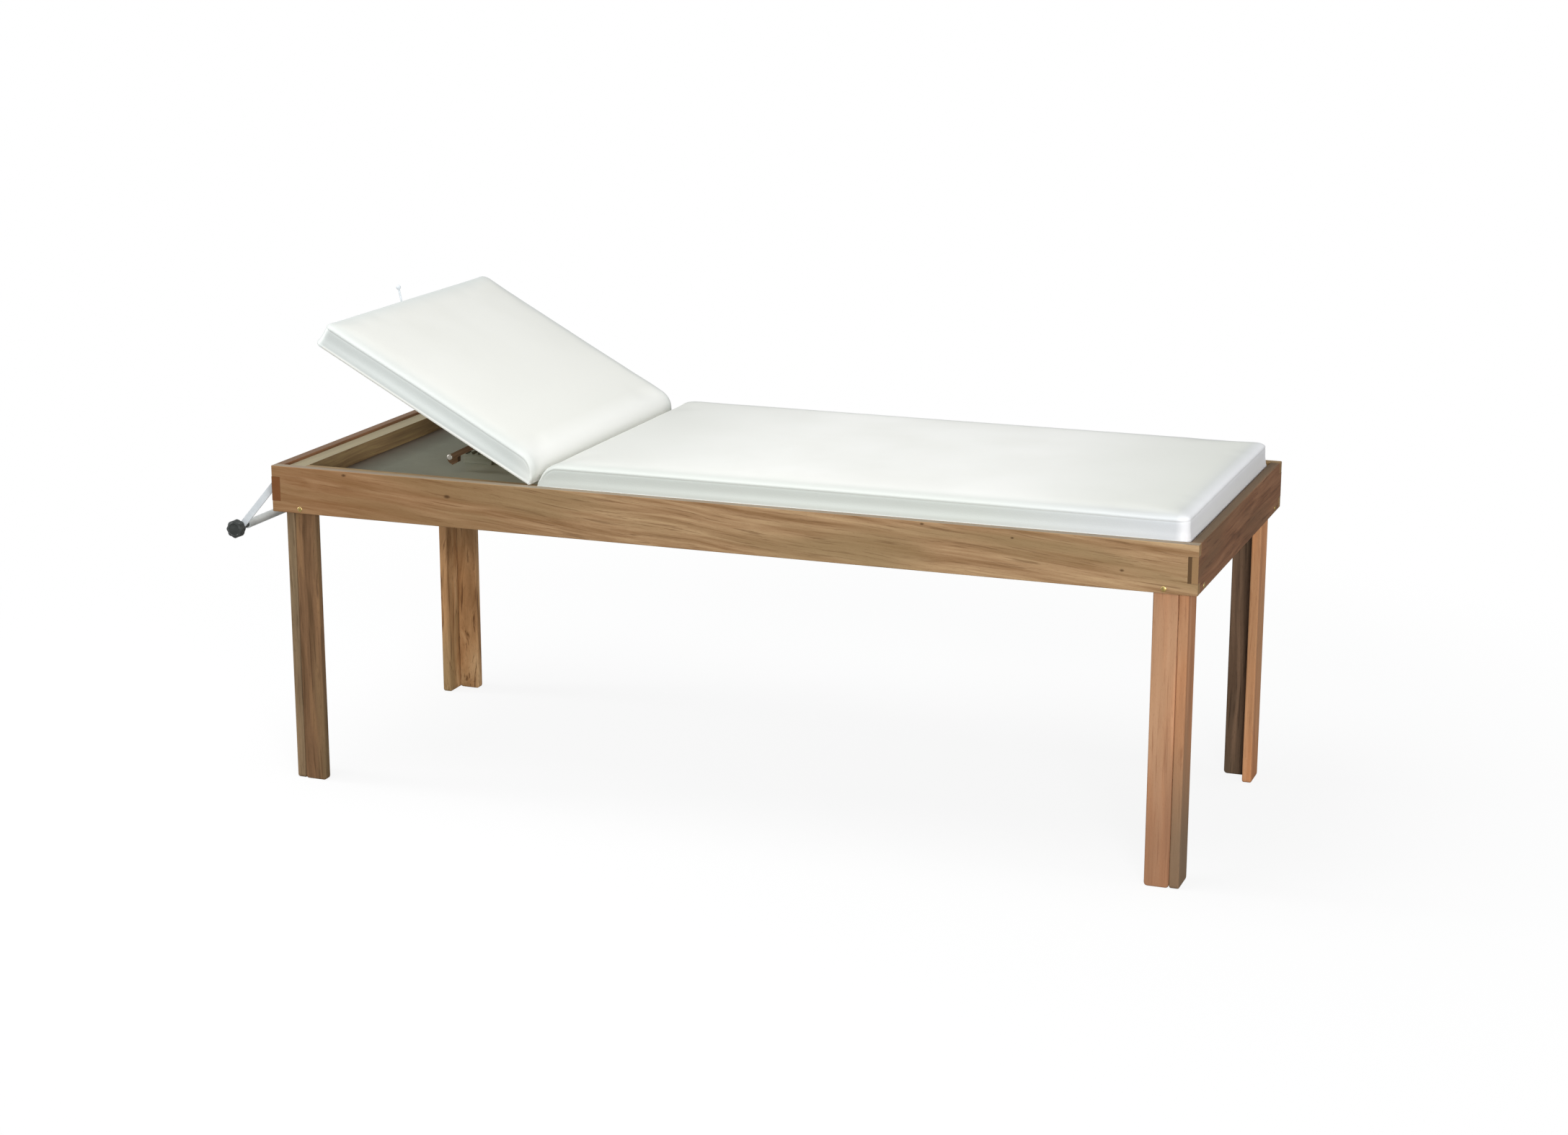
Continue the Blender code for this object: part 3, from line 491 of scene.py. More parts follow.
    def dress(self, *boards: Board) -> None:
        """Give each board its own cut of the timber."""
        for board in boards:
            dress(board.node, self.material(board))


@dataclass(frozen=True)
class Fade:
    """A change of a cover's tone along X: new colours of its sheet and its sides, and where it runs."""

    sheet: str
    side: str
    reach: tuple[float, float]


@dataclass(frozen=True)
class CoverFinish:
    """White coated upholstery cloth, embossed with a fine hide grain.

    The eye sees a nearly even warm white with a soft sheen, a darker, cooler white on the boxed sides as
    painted shade, painted shade towards the foot end and beside the seat's hinge end, painted light on the
    backrest towards the hinge, and a faint grain where light grazes it.
    """

    name: str
    top: str
    shade: str
    band: str
    fades: tuple[Fade, ...] = ()
    # The real emboss is under a millimetre, so it is drawn coarser to show at all
    grain_mm: float = 2.4
    clouds_per_m: float = 5.0
    creases_per_m: float = 38.0
    roughness: tuple[float, float] = (0.40, 0.52)
    relief: tuple[float, float] = (0.10, 0.0012)

    def material(self) -> Material:
        """Make the cover's material; it reads the pad's "band" attribute.

        Returns:
            The material.
        """
        material, tree, coords = new_material(self.name)
        place = coords.outputs["Object"]
        along = add_node(tree, "ShaderNodeSeparateXYZ", {0: place}).outputs["X"]
        clouds = {"Vector": place, "Scale": self.clouds_per_m, "Detail": 3.0}
        cloud = add_node(tree, "ShaderNodeTexNoise", clouds)
        sheet = add_node(tree, "ShaderNodeValToRGB", {"Fac": cloud}, ((0.35, self.shade), (0.62, self.top)))
        # The sides take a darker, cooler copy of the white, as painted shade
        side: Any = linear(self.band)
        for fade in self.fades:
            sheet = tint(tree, sheet, fade.sheet, along, fade.reach)
            side = tint(tree, side, fade.side, along, fade.reach)
        # The band attribute also carries painted shade on the rolls and painted light on the far end
        band = add_node(tree, "ShaderNodeAttribute", attribute_name="band")
        parts = {SHARE: band.outputs["Fac"], COLOUR: sheet, OTHER: side}
        colour = add_node(tree, "ShaderNodeMix", parts, data_type="RGBA")
        emboss = {"Vector": place, "Scale": 1 / (self.grain_mm * MM)}
        cells = add_node(tree, "ShaderNodeTexVoronoi", emboss, feature="SMOOTH_F1")
        wrinkles = {"Vector": place, "Scale": self.creases_per_m, "Detail": 4.0}
        creases = add_node(tree, "ShaderNodeTexNoise", wrinkles)
        height = add_node(tree, "ShaderNodeMath", {0: creases, 1: 2.0, 2: cells}, operation="MULTIPLY_ADD")
        finish_surface(tree, colour, cloud, self.roughness, height, self.relief)
        return material


@dataclass(frozen=True)
class MetalFinish:
    """Drawn or plated metal: a mirror blurred by fine scratches along one axis, with duller patches."""

    name: str
    colour: str
    dull: str
    roughness: tuple[float, float]
    # Real scratches are far finer, so they are drawn wider to blur the mirror at all
    scratch_mm: tuple[float, float, float] = (1.2, 40.0, 1.2)
    patches_per_m: float = 60.0
    relief: tuple[float, float] = (0.12, 0.0002)

    def material(self) -> Material:
        """Make the metal's material.

        Returns:
            The material.
        """
        material, tree, coords = new_material(self.name)
        place = coords.outputs["Object"]
        scale = tuple(1 / (size * MM) for size in self.scratch_mm)
        drawn = add_node(tree, "ShaderNodeVectorMath", {0: place, 1: scale}, operation="MULTIPLY")
        scratches = add_node(tree, "ShaderNodeTexNoise", {"Vector": drawn, "Scale": 1.0, "Detail": 3.0})
        spots = {"Vector": place, "Scale": self.patches_per_m, "Detail": 3.0}
        patches = add_node(tree, "ShaderNodeTexNoise", spots)
        stops = ((0.38, self.dull), (0.60, self.colour))
        colour = add_node(tree, "ShaderNodeValToRGB", {"Fac": patches}, stops)
        shader = finish_surface(tree, colour, scratches, self.roughness, scratches, self.relief)
        shader.inputs["Metallic"].default_value = 1.0
        return material


@dataclass(frozen=True)
class CoatFinish:
    """Stoved enamel or moulded plastic: one colour with a slight cloud, and a pebbled skin."""

    name: str
    colour: str
    shade: str
    # Real pebbles are under a millimetre, so they are drawn coarser to show at all
    pebble_mm: float = 3.0
    roughness: tuple[float, float] = (0.36, 0.46)
    relief: tuple[float, float] = (0.03, 0.0004)
    clouds_per_m: float = 45.0

    def material(self) -> Material:
        """Make the coat's material.

        Returns:
            The material.
        """
        material, tree, coords = new_material(self.name)
        place = coords.outputs["Object"]
        clouds = {"Vector": place, "Scale": self.clouds_per_m, "Detail": 3.0}
        cloud = add_node(tree, "ShaderNodeTexNoise", clouds)
        stops = ((0.36, self.shade), (0.62, self.colour))
        colour = add_node(tree, "ShaderNodeValToRGB", {"Fac": cloud}, stops)
        skin = {"Vector": place, "Scale": 1 / (self.pebble_mm * MM), "Detail": 1.0}
        pebbles = add_node(tree, "ShaderNodeTexNoise", skin)
        finish_surface(tree, colour, cloud, self.roughness, pebbles, self.relief)
        return material


@dataclass(frozen=True)
class HardboardFinish:
    """Pressed hardboard: grey-green matted fibres with paler and darker flecks, and no gloss.

    It is painted paler away from the open head end, under the backrest, as painted light where the backrest
    shades it, and darker along the head batten as painted shadow.
    """

    dark: str = "#626459"
    light: str = "#717366"
    fleck: str = "#818273"
    # Painted light under the backrest, and painted shadow along the head batten
    pale: str = "#B6B9A5"
    painted_light_reach: tuple[float, float] = (-0.95, -0.60)
    painted_light_share: float = 0.65
    painted_shadow: str = "#453223"
    painted_shadow_reach: tuple[float, float] = (-0.795, -0.880)
    painted_shadow_share: float = 0.85
    fibre_mm: float = 3.0
    clouds_per_m: float = 14.0
    roughness: float = 0.72
    relief: tuple[float, float] = (0.25, 0.0004)

    def material(self) -> Material:
        """Make the panel's material.

        Returns:
            The material.
        """
        material, tree, coords = new_material("pressed_hardboard")
        place = coords.outputs["Object"]
        along = add_node(tree, "ShaderNodeSeparateXYZ", {0: place}).outputs["X"]
        clouds = {"Vector": place, "Scale": self.clouds_per_m, "Detail": 6.0, "Roughness": 0.7}
        cloud = add_node(tree, "ShaderNodeTexNoise", clouds)
        mat = {"Vector": place, "Scale": 1 / (self.fibre_mm * MM), "Detail": 3.0, "Distortion": 1.5}
        fibres = add_node(tree, "ShaderNodeTexNoise", mat)
        colour = add_node(tree, "ShaderNodeValToRGB", {"Fac": cloud}, ((0.34, self.dark), (0.64, self.light)))
        colour = tint(tree, colour, self.fleck, fibres, (0.56, 0.74), 0.7)
        # Painted light under the backrest, then painted shadow along the head batten
        colour = tint(tree, colour, self.pale, along, self.painted_light_reach, self.painted_light_share)
        colour = tint(tree, colour, self.painted_shadow, along, self.painted_shadow_reach, self.painted_shadow_share)
        strength, depth = self.relief
        bump = add_node(tree, "ShaderNodeBump", {"Height": fibres, "Strength": strength, "Distance": depth})
        shader = tree.nodes["Principled BSDF"]
        feed(tree, shader, {"Base Color": colour, "Roughness": self.roughness, "Normal": bump})
        return material


# The boards of the frame and the legs are walnut of their own tones: olive rails, grey-brown legs at the
# head end and warm ones at the foot end. The end board of the near foot leg is lighter as painted light on
# its face towards the foot end, and the side board of the far foot leg darker as painted shade. The boards
# inside are plainer woods.
RAIL_TIMBER = TimberFinish(
    "lacquered_walnut", "#86633F", "#A68460", "#BE9E77", "#967D58", "#6B4C2E", "#9A7A54"
)
FOOT_RAIL_TIMBER = TimberFinish(
    "lacquered_walnut", "#6E4A31", "#8A6043", "#A07455", "#7B5C41", "#543520", "#9A7A54"
)
NEAR_HEAD_LEG = TimberFinish(
    "lacquered_walnut", "#61472D", "#826144", "#9C7752", "#7A6748", "#4A331D", "#5E4024", figure_mm=16.0
)
HEAD_END_LEG = TimberFinish(
    "lacquered_walnut", "#6E5A43", "#8D7558", "#A68B6A", "#837055", "#543F29", "#5E4024", figure_mm=16.0
)
FAR_HEAD_LEG = TimberFinish(
    "lacquered_walnut", "#8A613B", "#C49567", "#E1BA8C", "#A58A62", "#5E3B1E", "#5E4024",
    figure_mm=22.0, streak_mm=5.0, streak_share=0.8, sway_mm=130.0,
)
NEAR_FOOT_LEG = TimberFinish(
    "lacquered_walnut", "#B07C5A", "#CA9169", "#DBA781", "#B68F6E", "#8F5E40", "#7C5236",
    figure_mm=16.0, streak_mm=3.2, streak_share=0.5, sway_mm=25.0,
)
# Lighter as painted light on the face towards the foot end
FOOT_END_LEG_PAINTED_LIGHT = TimberFinish(
    "lacquered_walnut", "#A6714F", "#BF855C", "#CF9972", "#AC8361", "#875638", "#7C5236",
    figure_mm=16.0, streak_mm=3.2, streak_share=0.5, sway_mm=25.0,
)
FAR_FOOT_LEG = TimberFinish(
    "lacquered_walnut", "#B77951", "#D39161", "#E0A577", "#BD8F68", "#945B38", "#815234",
    figure_mm=16.0,
)
SHADED_LEG = TimberFinish(
    "lacquered_walnut", "#564130", "#715844", "#8A6D55", "#5F5342", "#3A2A1C", "#5E4024",
    figure_mm=14.0, streak_mm=5.0, streak_share=0.7,
)
# Sawn, oiled, greyed and bare boards inside: duller, with a closer figure
BATTEN_TIMBER = TimberFinish(
    "sawn_softwood", "#7B6547", "#947B59", "#AB9469", "#867756", "#654D36", "#7B623E",
    figure_mm=9.0, streak_mm=4.0, streak_share=0.4,
)
PROP_TIMBER = TimberFinish(
    "oiled_hardwood", "#503C27", "#695038", "#866A4F", "#5B503F", "#3A2B1E", "#463323",
    figure_mm=10.0, streak_mm=5.0,
)
RACK_TIMBER = TimberFinish(
    "grey_stained_softwood", "#838372", "#9D9D8B", "#B7B7A3", "#929484", "#696959", "#727262",
    figure_mm=10.0, streak_mm=5.0, streak_share=0.4,
)
PLYWOOD = TimberFinish(
    "bare_plywood", "#BFA279", "#CDB38C", "#DAC4A0", "#C4B08C", "#A98A60", "#A98A60",
    figure_mm=30.0, streak_mm=8.0, streak_share=0.35,
)
# A cool grey, a bright warm and a yellow metal, all with blurred highlights
ZINC = MetalFinish("zinc_plated_steel", "#A9ADAC", "#8E9290", roughness=(0.28, 0.46))
NICKEL = MetalFinish("bright_nickel_plate", "#F4F1EA", "#E2DED6", roughness=(0.52, 0.64))
BRASS = MetalFinish(
    "polished_brass", "#EBD494", "#CDB06A", roughness=(0.30, 0.44), scratch_mm=(1.0, 1.0, 1.0)
)
# One cloth; the backrest takes a greyer copy as painted shade, and the fades along X are painted light and
# shade
SEAT_COVER = CoverFinish(
    "white_coated_cloth", "#FBFBF6", "#F7F7F1", "#CDD2CC",
    (
        # Painted shade on the seat towards its hinge end
        Fade("#E7E8E1", "#CDD2CC", (0.12, -0.36)),
        # Painted shade towards the foot end
        Fade("#E6E8DF", "#D4D7DC", (0.62, 1.10)),
        # Painted highlight on the sides at the foot-end corner
        Fade("#F2F4F0", "#FDFDFF", (1.008, 1.030)),
    ),
)
BACKREST_COVER = CoverFinish(
    "shaded_coated_cloth", "#E5E5DF", "#E0E0D9", "#D6DBD8",
    # Painted light towards the hinge, strongest on the backrest's hinge roll
    (Fade("#EEEEE7", "#D3D8D4", (-0.85, -0.45)), Fade("#FBFBF7", "#E6E9E4", (-0.385, -0.330))),
)
# Smooth coats with a soft highlight, and a duller black plastic
GREY_LACQUER = CoatFinish("grey_lacquered_tube", "#C6CAC8", "#B6BAB8")
ENAMEL = CoatFinish("stoved_white_enamel", "#E6EBEE", "#DBE1E5")
MOULDED = CoatFinish(
    "moulded_black_plastic", "#444745", "#353836",
    pebble_mm=1.2, roughness=(0.36, 0.50), relief=(0.10, 0.0004),
)
# Painted shade of the table on the upper part of both boards of the far leg at the head end
FAR_HEAD_PAINTED_SHADE = Mark((-0.92, 0.36, 0.50), 0.28, "#876645", 0.5)


@dataclass
class TableFrame:
    """Rails, ledge battens and base panel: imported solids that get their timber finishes."""

    near_rail_marks: tuple[Mark, ...] = (
        # The first mark darkens the near rail towards its head end; the others are pin knots
        Mark((-0.950, -0.400, 0.6500), 0.4500, "#8F5D33", 0.42),
        Mark((-0.764, -0.400, 0.6915), 0.0045),
        Mark((-0.522, -0.400, 0.6653), 0.0060),
        Mark((0.513, -0.400, 0.6953), 0.0035),
        Mark((0.696, -0.400, 0.6829), 0.0030),
        Mark((0.914, -0.400, 0.6381), 0.0038),
    )
    foot_joint_x: float = 1.0485

    def build(self) -> None:
        """Dress every board of the frame."""
        # The tops of the rails and of the head batten carry painted light and shade
        RAIL_TIMBER.dress(
            Board("side_rail_near", Grain.SLANTED, 0.31, self.near_rail_marks, painted_top_shading="#8F8778"),
            Board("side_rail_far", Grain.ALONG, 2.47),
        )
        FOOT_RAIL_TIMBER.dress(
            Board("end_rail_foot", Grain.ACROSS, 6.29, joint_x=self.foot_joint_x, painted_top_shading="#71614A")
        )
        replace(FOOT_RAIL_TIMBER, end_grain="#7E4C26").dress(
            Board("end_rail_head", Grain.ACROSS, 4.13, painted_top_shading="#75614F")
        )
        BATTEN_TIMBER.dress(
            Board("side_batten_near", Grain.ALONG, 0.83),
            Board("side_batten_far", Grain.ALONG, 1.97),
            Board("end_batten_head", Grain.ACROSS, 3.41, painted_top_shading="#A29B82"),
            Board("end_batten_foot", Grain.ACROSS, 5.17),
            Board("cross_bearer", Grain.ACROSS, 7.03),
        )
        dress("base_panel", HardboardFinish().material())
        LOG.info("frame dressed")


@dataclass
class Legs:
    """Four legs of two boards each, every board from its own piece of timber, some with painted light and
    shade.
    """

    timbers: tuple[tuple[str, TimberFinish, float, tuple[Mark, ...]], ...] = (
        ("leg_head_near_end_board", HEAD_END_LEG, 1.3, ()),
        ("leg_head_near_side_board", NEAR_HEAD_LEG, 2.2, ()),
        # The far head leg's boards carry the table's painted shade
        ("leg_head_far_end_board", FAR_HEAD_LEG, 3.4, (FAR_HEAD_PAINTED_SHADE,)),
        ("leg_head_far_side_board", FAR_HEAD_LEG, 4.3, (FAR_HEAD_PAINTED_SHADE,)),
        # Marks at the floor make both boards of the near foot leg darker towards the bottom
        ("leg_foot_near_end_board", FOOT_END_LEG_PAINTED_LIGHT, 5.5, (Mark((1.02, -0.36, 0.0), 0.34, "#706451", 0.7),)),
        ("leg_foot_near_side_board", NEAR_FOOT_LEG, 6.4, (Mark((1.02, -0.36, 0.0), 0.38, "#875F46", 0.5),)),
        ("leg_foot_far_end_board", FAR_FOOT_LEG, 7.6, ()),
        ("leg_foot_far_side_board", SHADED_LEG, 8.5, ()),
    )

    def build(self) -> None:
        """Dress every leg board."""
        for node, timber, seed, marks in self.timbers:
            timber.dress(Board(node, Grain.UPRIGHT, seed, marks))
        LOG.info("legs dressed")


@dataclass(frozen=True)
class Fastener:
    """Where one screw or staple sits, the way that it points out, and its turn about that way.

    The turns of screws are spread so that no two slots beside each other stand alike.
    """

    place: Vector
    out: Vector
    spin: float


@dataclass
class FastenerSet:
    """Fasteners of one kind and size on one body, set by Geometry Nodes."""

    name: str
    body: str
    slot: str
    finish: Material

    def _sizes(self) -> dict[str, float]:
        """Sizes that the node tree takes as named inputs."""
        return {}

    def _shape(self, tree: NodeTree, given: NodeOutputs) -> Node:
        """Draw one fastener at the origin, with its outward way along Z.

        Args:
            tree: The node tree.
            given: The tree's named inputs.

        Returns:
            The fastener's geometry.
        """
        raise NotImplementedError

    def _tree(self) -> tuple[NodeTree, dict[str, str]]:
        """Build the node tree that sets a fastener on every point.

        Returns:
            The tree, and the identifier of each named input.
        """
        tree = bpy.data.node_groups.new(f"{self.name}_tree", "GeometryNodeTree")
        kinds = {"Geometry": "NodeSocketGeometry"}
        kinds |= {size: "NodeSocketFloat" for size in self._sizes()}
        kinds["Finish"] = "NodeSocketMaterial"
        inputs = {
            name: tree.interface.new_socket(name, in_out="INPUT", socket_type=kind).identifier
            for name, kind in kinds.items()
        }
        tree.interface.new_socket("Geometry", in_out="OUTPUT", socket_type="NodeSocketGeometry")
        given = add_node(tree, "NodeGroupInput").outputs
        out = add_node(tree, "GeometryNodeInputNamedAttribute", {"Name": "out"}, data_type="FLOAT_VECTOR")
        spin = add_node(tree, "GeometryNodeInputNamedAttribute", {"Name": "spin"}, data_type="FLOAT")
        driven = add_node(tree, "FunctionNodeAxisAngleToRotation", {"Axis": (0, 0, 1), "Angle": spin})
        aimed = add_node(tree, "FunctionNodeAlignRotationToVector", {"Vector": out}, axis="Z")
        turned = {"Rotation": aimed, "Rotate By": driven}
        turn = add_node(tree, "FunctionNodeRotateRotation", turned, rotation_space="LOCAL")
        spread = {"Points": given["Geometry"], "Instance": self._shape(tree, given), "Rotation": turn}
        placed = add_node(tree, "GeometryNodeInstanceOnPoints", spread)
        real = add_node(tree, "GeometryNodeRealizeInstances", {"Geometry": placed})
        coated = add_node(tree, "GeometryNodeSetMaterial", {"Geometry": real, "Material": given["Finish"]})
        add_node(tree, "NodeGroupOutput", {"Geometry": coated})
        return tree, inputs

    def build(self, fasteners: Sequence[Fastener], stands_for: Sequence[str] = ()) -> None:
        """Set the fasteners as one piece on their body.

        Args:
            fasteners: Where they sit.
            stands_for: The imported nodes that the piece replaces.
        """
        obj = add_mesh(self.name, [fastener.place for fastener in fasteners], [])
        out = obj.data.attributes.new("out", "FLOAT_VECTOR", "POINT")
        out.data.foreach_set("vector", [c for fastener in fasteners for c in fastener.out])
        spin = obj.data.attributes.new("spin", "FLOAT", "POINT")
        spin.data.foreach_set("value", [fastener.spin for fastener in fasteners])
        tree, inputs = self._tree()
        modifier = obj.modifiers.new("fasteners", "NODES")
        modifier.node_group = tree
        for size, value in self._sizes().items():
            modifier[inputs[size]] = value
        modifier[inputs["Finish"]] = self.finish
        bake_modifiers(obj)
        obj.data.set_sharp_from_angle(angle=math.radians(40))
        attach(obj, self.body)
        if stands_for:
            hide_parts(*stands_for)
        LOG.info("%s: %d set, %d faces", self.name, len(fasteners), len(obj.data.polygons))


@dataclass
class ScrewSet(FastenerSet):
    """Slotted round-head wood screws."""

    head_radius: float
    head_height: float = SCREW_PROUD
    slot_width: float = 0.0011
    slot_depth: float = 0.0009
    shank_radius: float = 0.0019
    shank_length: float = 0.030

    def _sizes(self) -> dict[str, float]:
        """Sizes of the head, of the block that trims it, of its slot and of the shank.

        Returns:
            The sizes by name.
        """
        block = 3.0 * self.head_radius
        return {
            "Head Radius": self.head_radius,
            "Head Height": self.head_height,
            "Head Flatness": self.head_height / self.head_radius,
            "Block": block,
            # A little under half, so that the head's base sinks a hair into the wood
            "Block Middle": 0.485 * block,
            "Slot Width": self.slot_width,
            "Slot Middle": 1.5 * self.head_height - self.slot_depth,
            "Shank Radius": self.shank_radius,
            "Shank Length": self.shank_length,
            "Shank Middle": -0.5 * self.shank_length,
        }

    def _shape(self, tree: NodeTree, given: NodeOutputs) -> Node:
        """Draw a domed head with a slot cut across it, on its shank.

        Args:
            tree: The node tree.
            given: The tree's named inputs.

        Returns:
            The screw's geometry.
        """
        squash = add_node(tree, "ShaderNodeCombineXYZ", {"X": 1.0, "Y": 1.0, "Z": given["Head Flatness"]})
        sphere = {"Segments": 20, "Rings": 15, "Radius": given["Head Radius"]}
        ball = add_node(tree, "GeometryNodeMeshUVSphere", sphere)
        dome = add_node(tree, "GeometryNodeTransform", {"Geometry": ball, "Scale": squash})
        wide = given["Block"]
        trim = add_block(tree, (wide, wide, wide), (0.0, 0.0, given["Block Middle"]))
        kept = {"Mesh 2": [dome, trim]}
        head = add_node(tree, "GeometryNodeMeshBoolean", kept, operation="INTERSECT", solver="EXACT")
        size = (wide, given["Slot Width"], given["Head Height"])
        blade = add_block(tree, size, (0.0, 0.0, given["Slot Middle"]))
        cut = {"Mesh 1": head, "Mesh 2": blade}
        slotted = add_node(tree, "GeometryNodeMeshBoolean", cut, operation="DIFFERENCE", solver="EXACT")
        bar = {"Vertices": 10, "Radius": given["Shank Radius"], "Depth": given["Shank Length"]}
        rod = add_node(tree, "GeometryNodeMeshCylinder", bar)
        down = add_node(tree, "ShaderNodeCombineXYZ", {"Z": given["Shank Middle"]})
        shank = add_node(tree, "GeometryNodeTransform", {"Geometry": rod, "Translation": down})
        return add_node(tree, "GeometryNodeJoinGeometry", {"Geometry": [slotted, shank]})


@dataclass
class StapleSet(FastenerSet):
    """Flat wire staples that hold a cover's hem to its board."""

    crown: float = 0.0100
    wire: float = 0.0011
    proud: float = 0.0004
    leg_length: float = 0.0040

    def _sizes(self) -> dict[str, float]:
        """Sizes of the crown and the legs.

        Returns:
            The sizes by name.
        """
        leg_x = 0.5 * (self.crown - self.proud)
        return {
            "Crown": self.crown,
            "Wire": self.wire,
            "Proud": self.proud,
            "Crown Middle": 0.5 * self.proud,
            "Leg Length": self.leg_length,
            "Leg Middle": -0.5 * self.leg_length,
            "First Leg": -leg_x,
            "Last Leg": leg_x,
        }

    def _shape(self, tree: NodeTree, given: NodeOutputs) -> Node:
        """Draw a crown that lies along X with a leg at each end.

        Args:
            tree: The node tree.
            given: The tree's named inputs.

        Returns:
            The staple's geometry.
        """
        wire, proud = given["Wire"], given["Proud"]
        parts = [add_block(tree, (given["Crown"], wire, proud), (0.0, 0.0, given["Crown Middle"]))]
        for leg in ("First Leg", "Last Leg"):
            size = (proud, wire, given["Leg Length"])
            parts.append(add_block(tree, size, (given[leg], 0.0, given["Leg Middle"])))
        return add_node(tree, "GeometryNodeJoinGeometry", {"Geometry": parts})


class Fineness(Enum):
    """How finely a pad's cover is divided: for the cloth's cage, or for the finished piece."""

    CAGE = "cage"
    FINE = "fine"


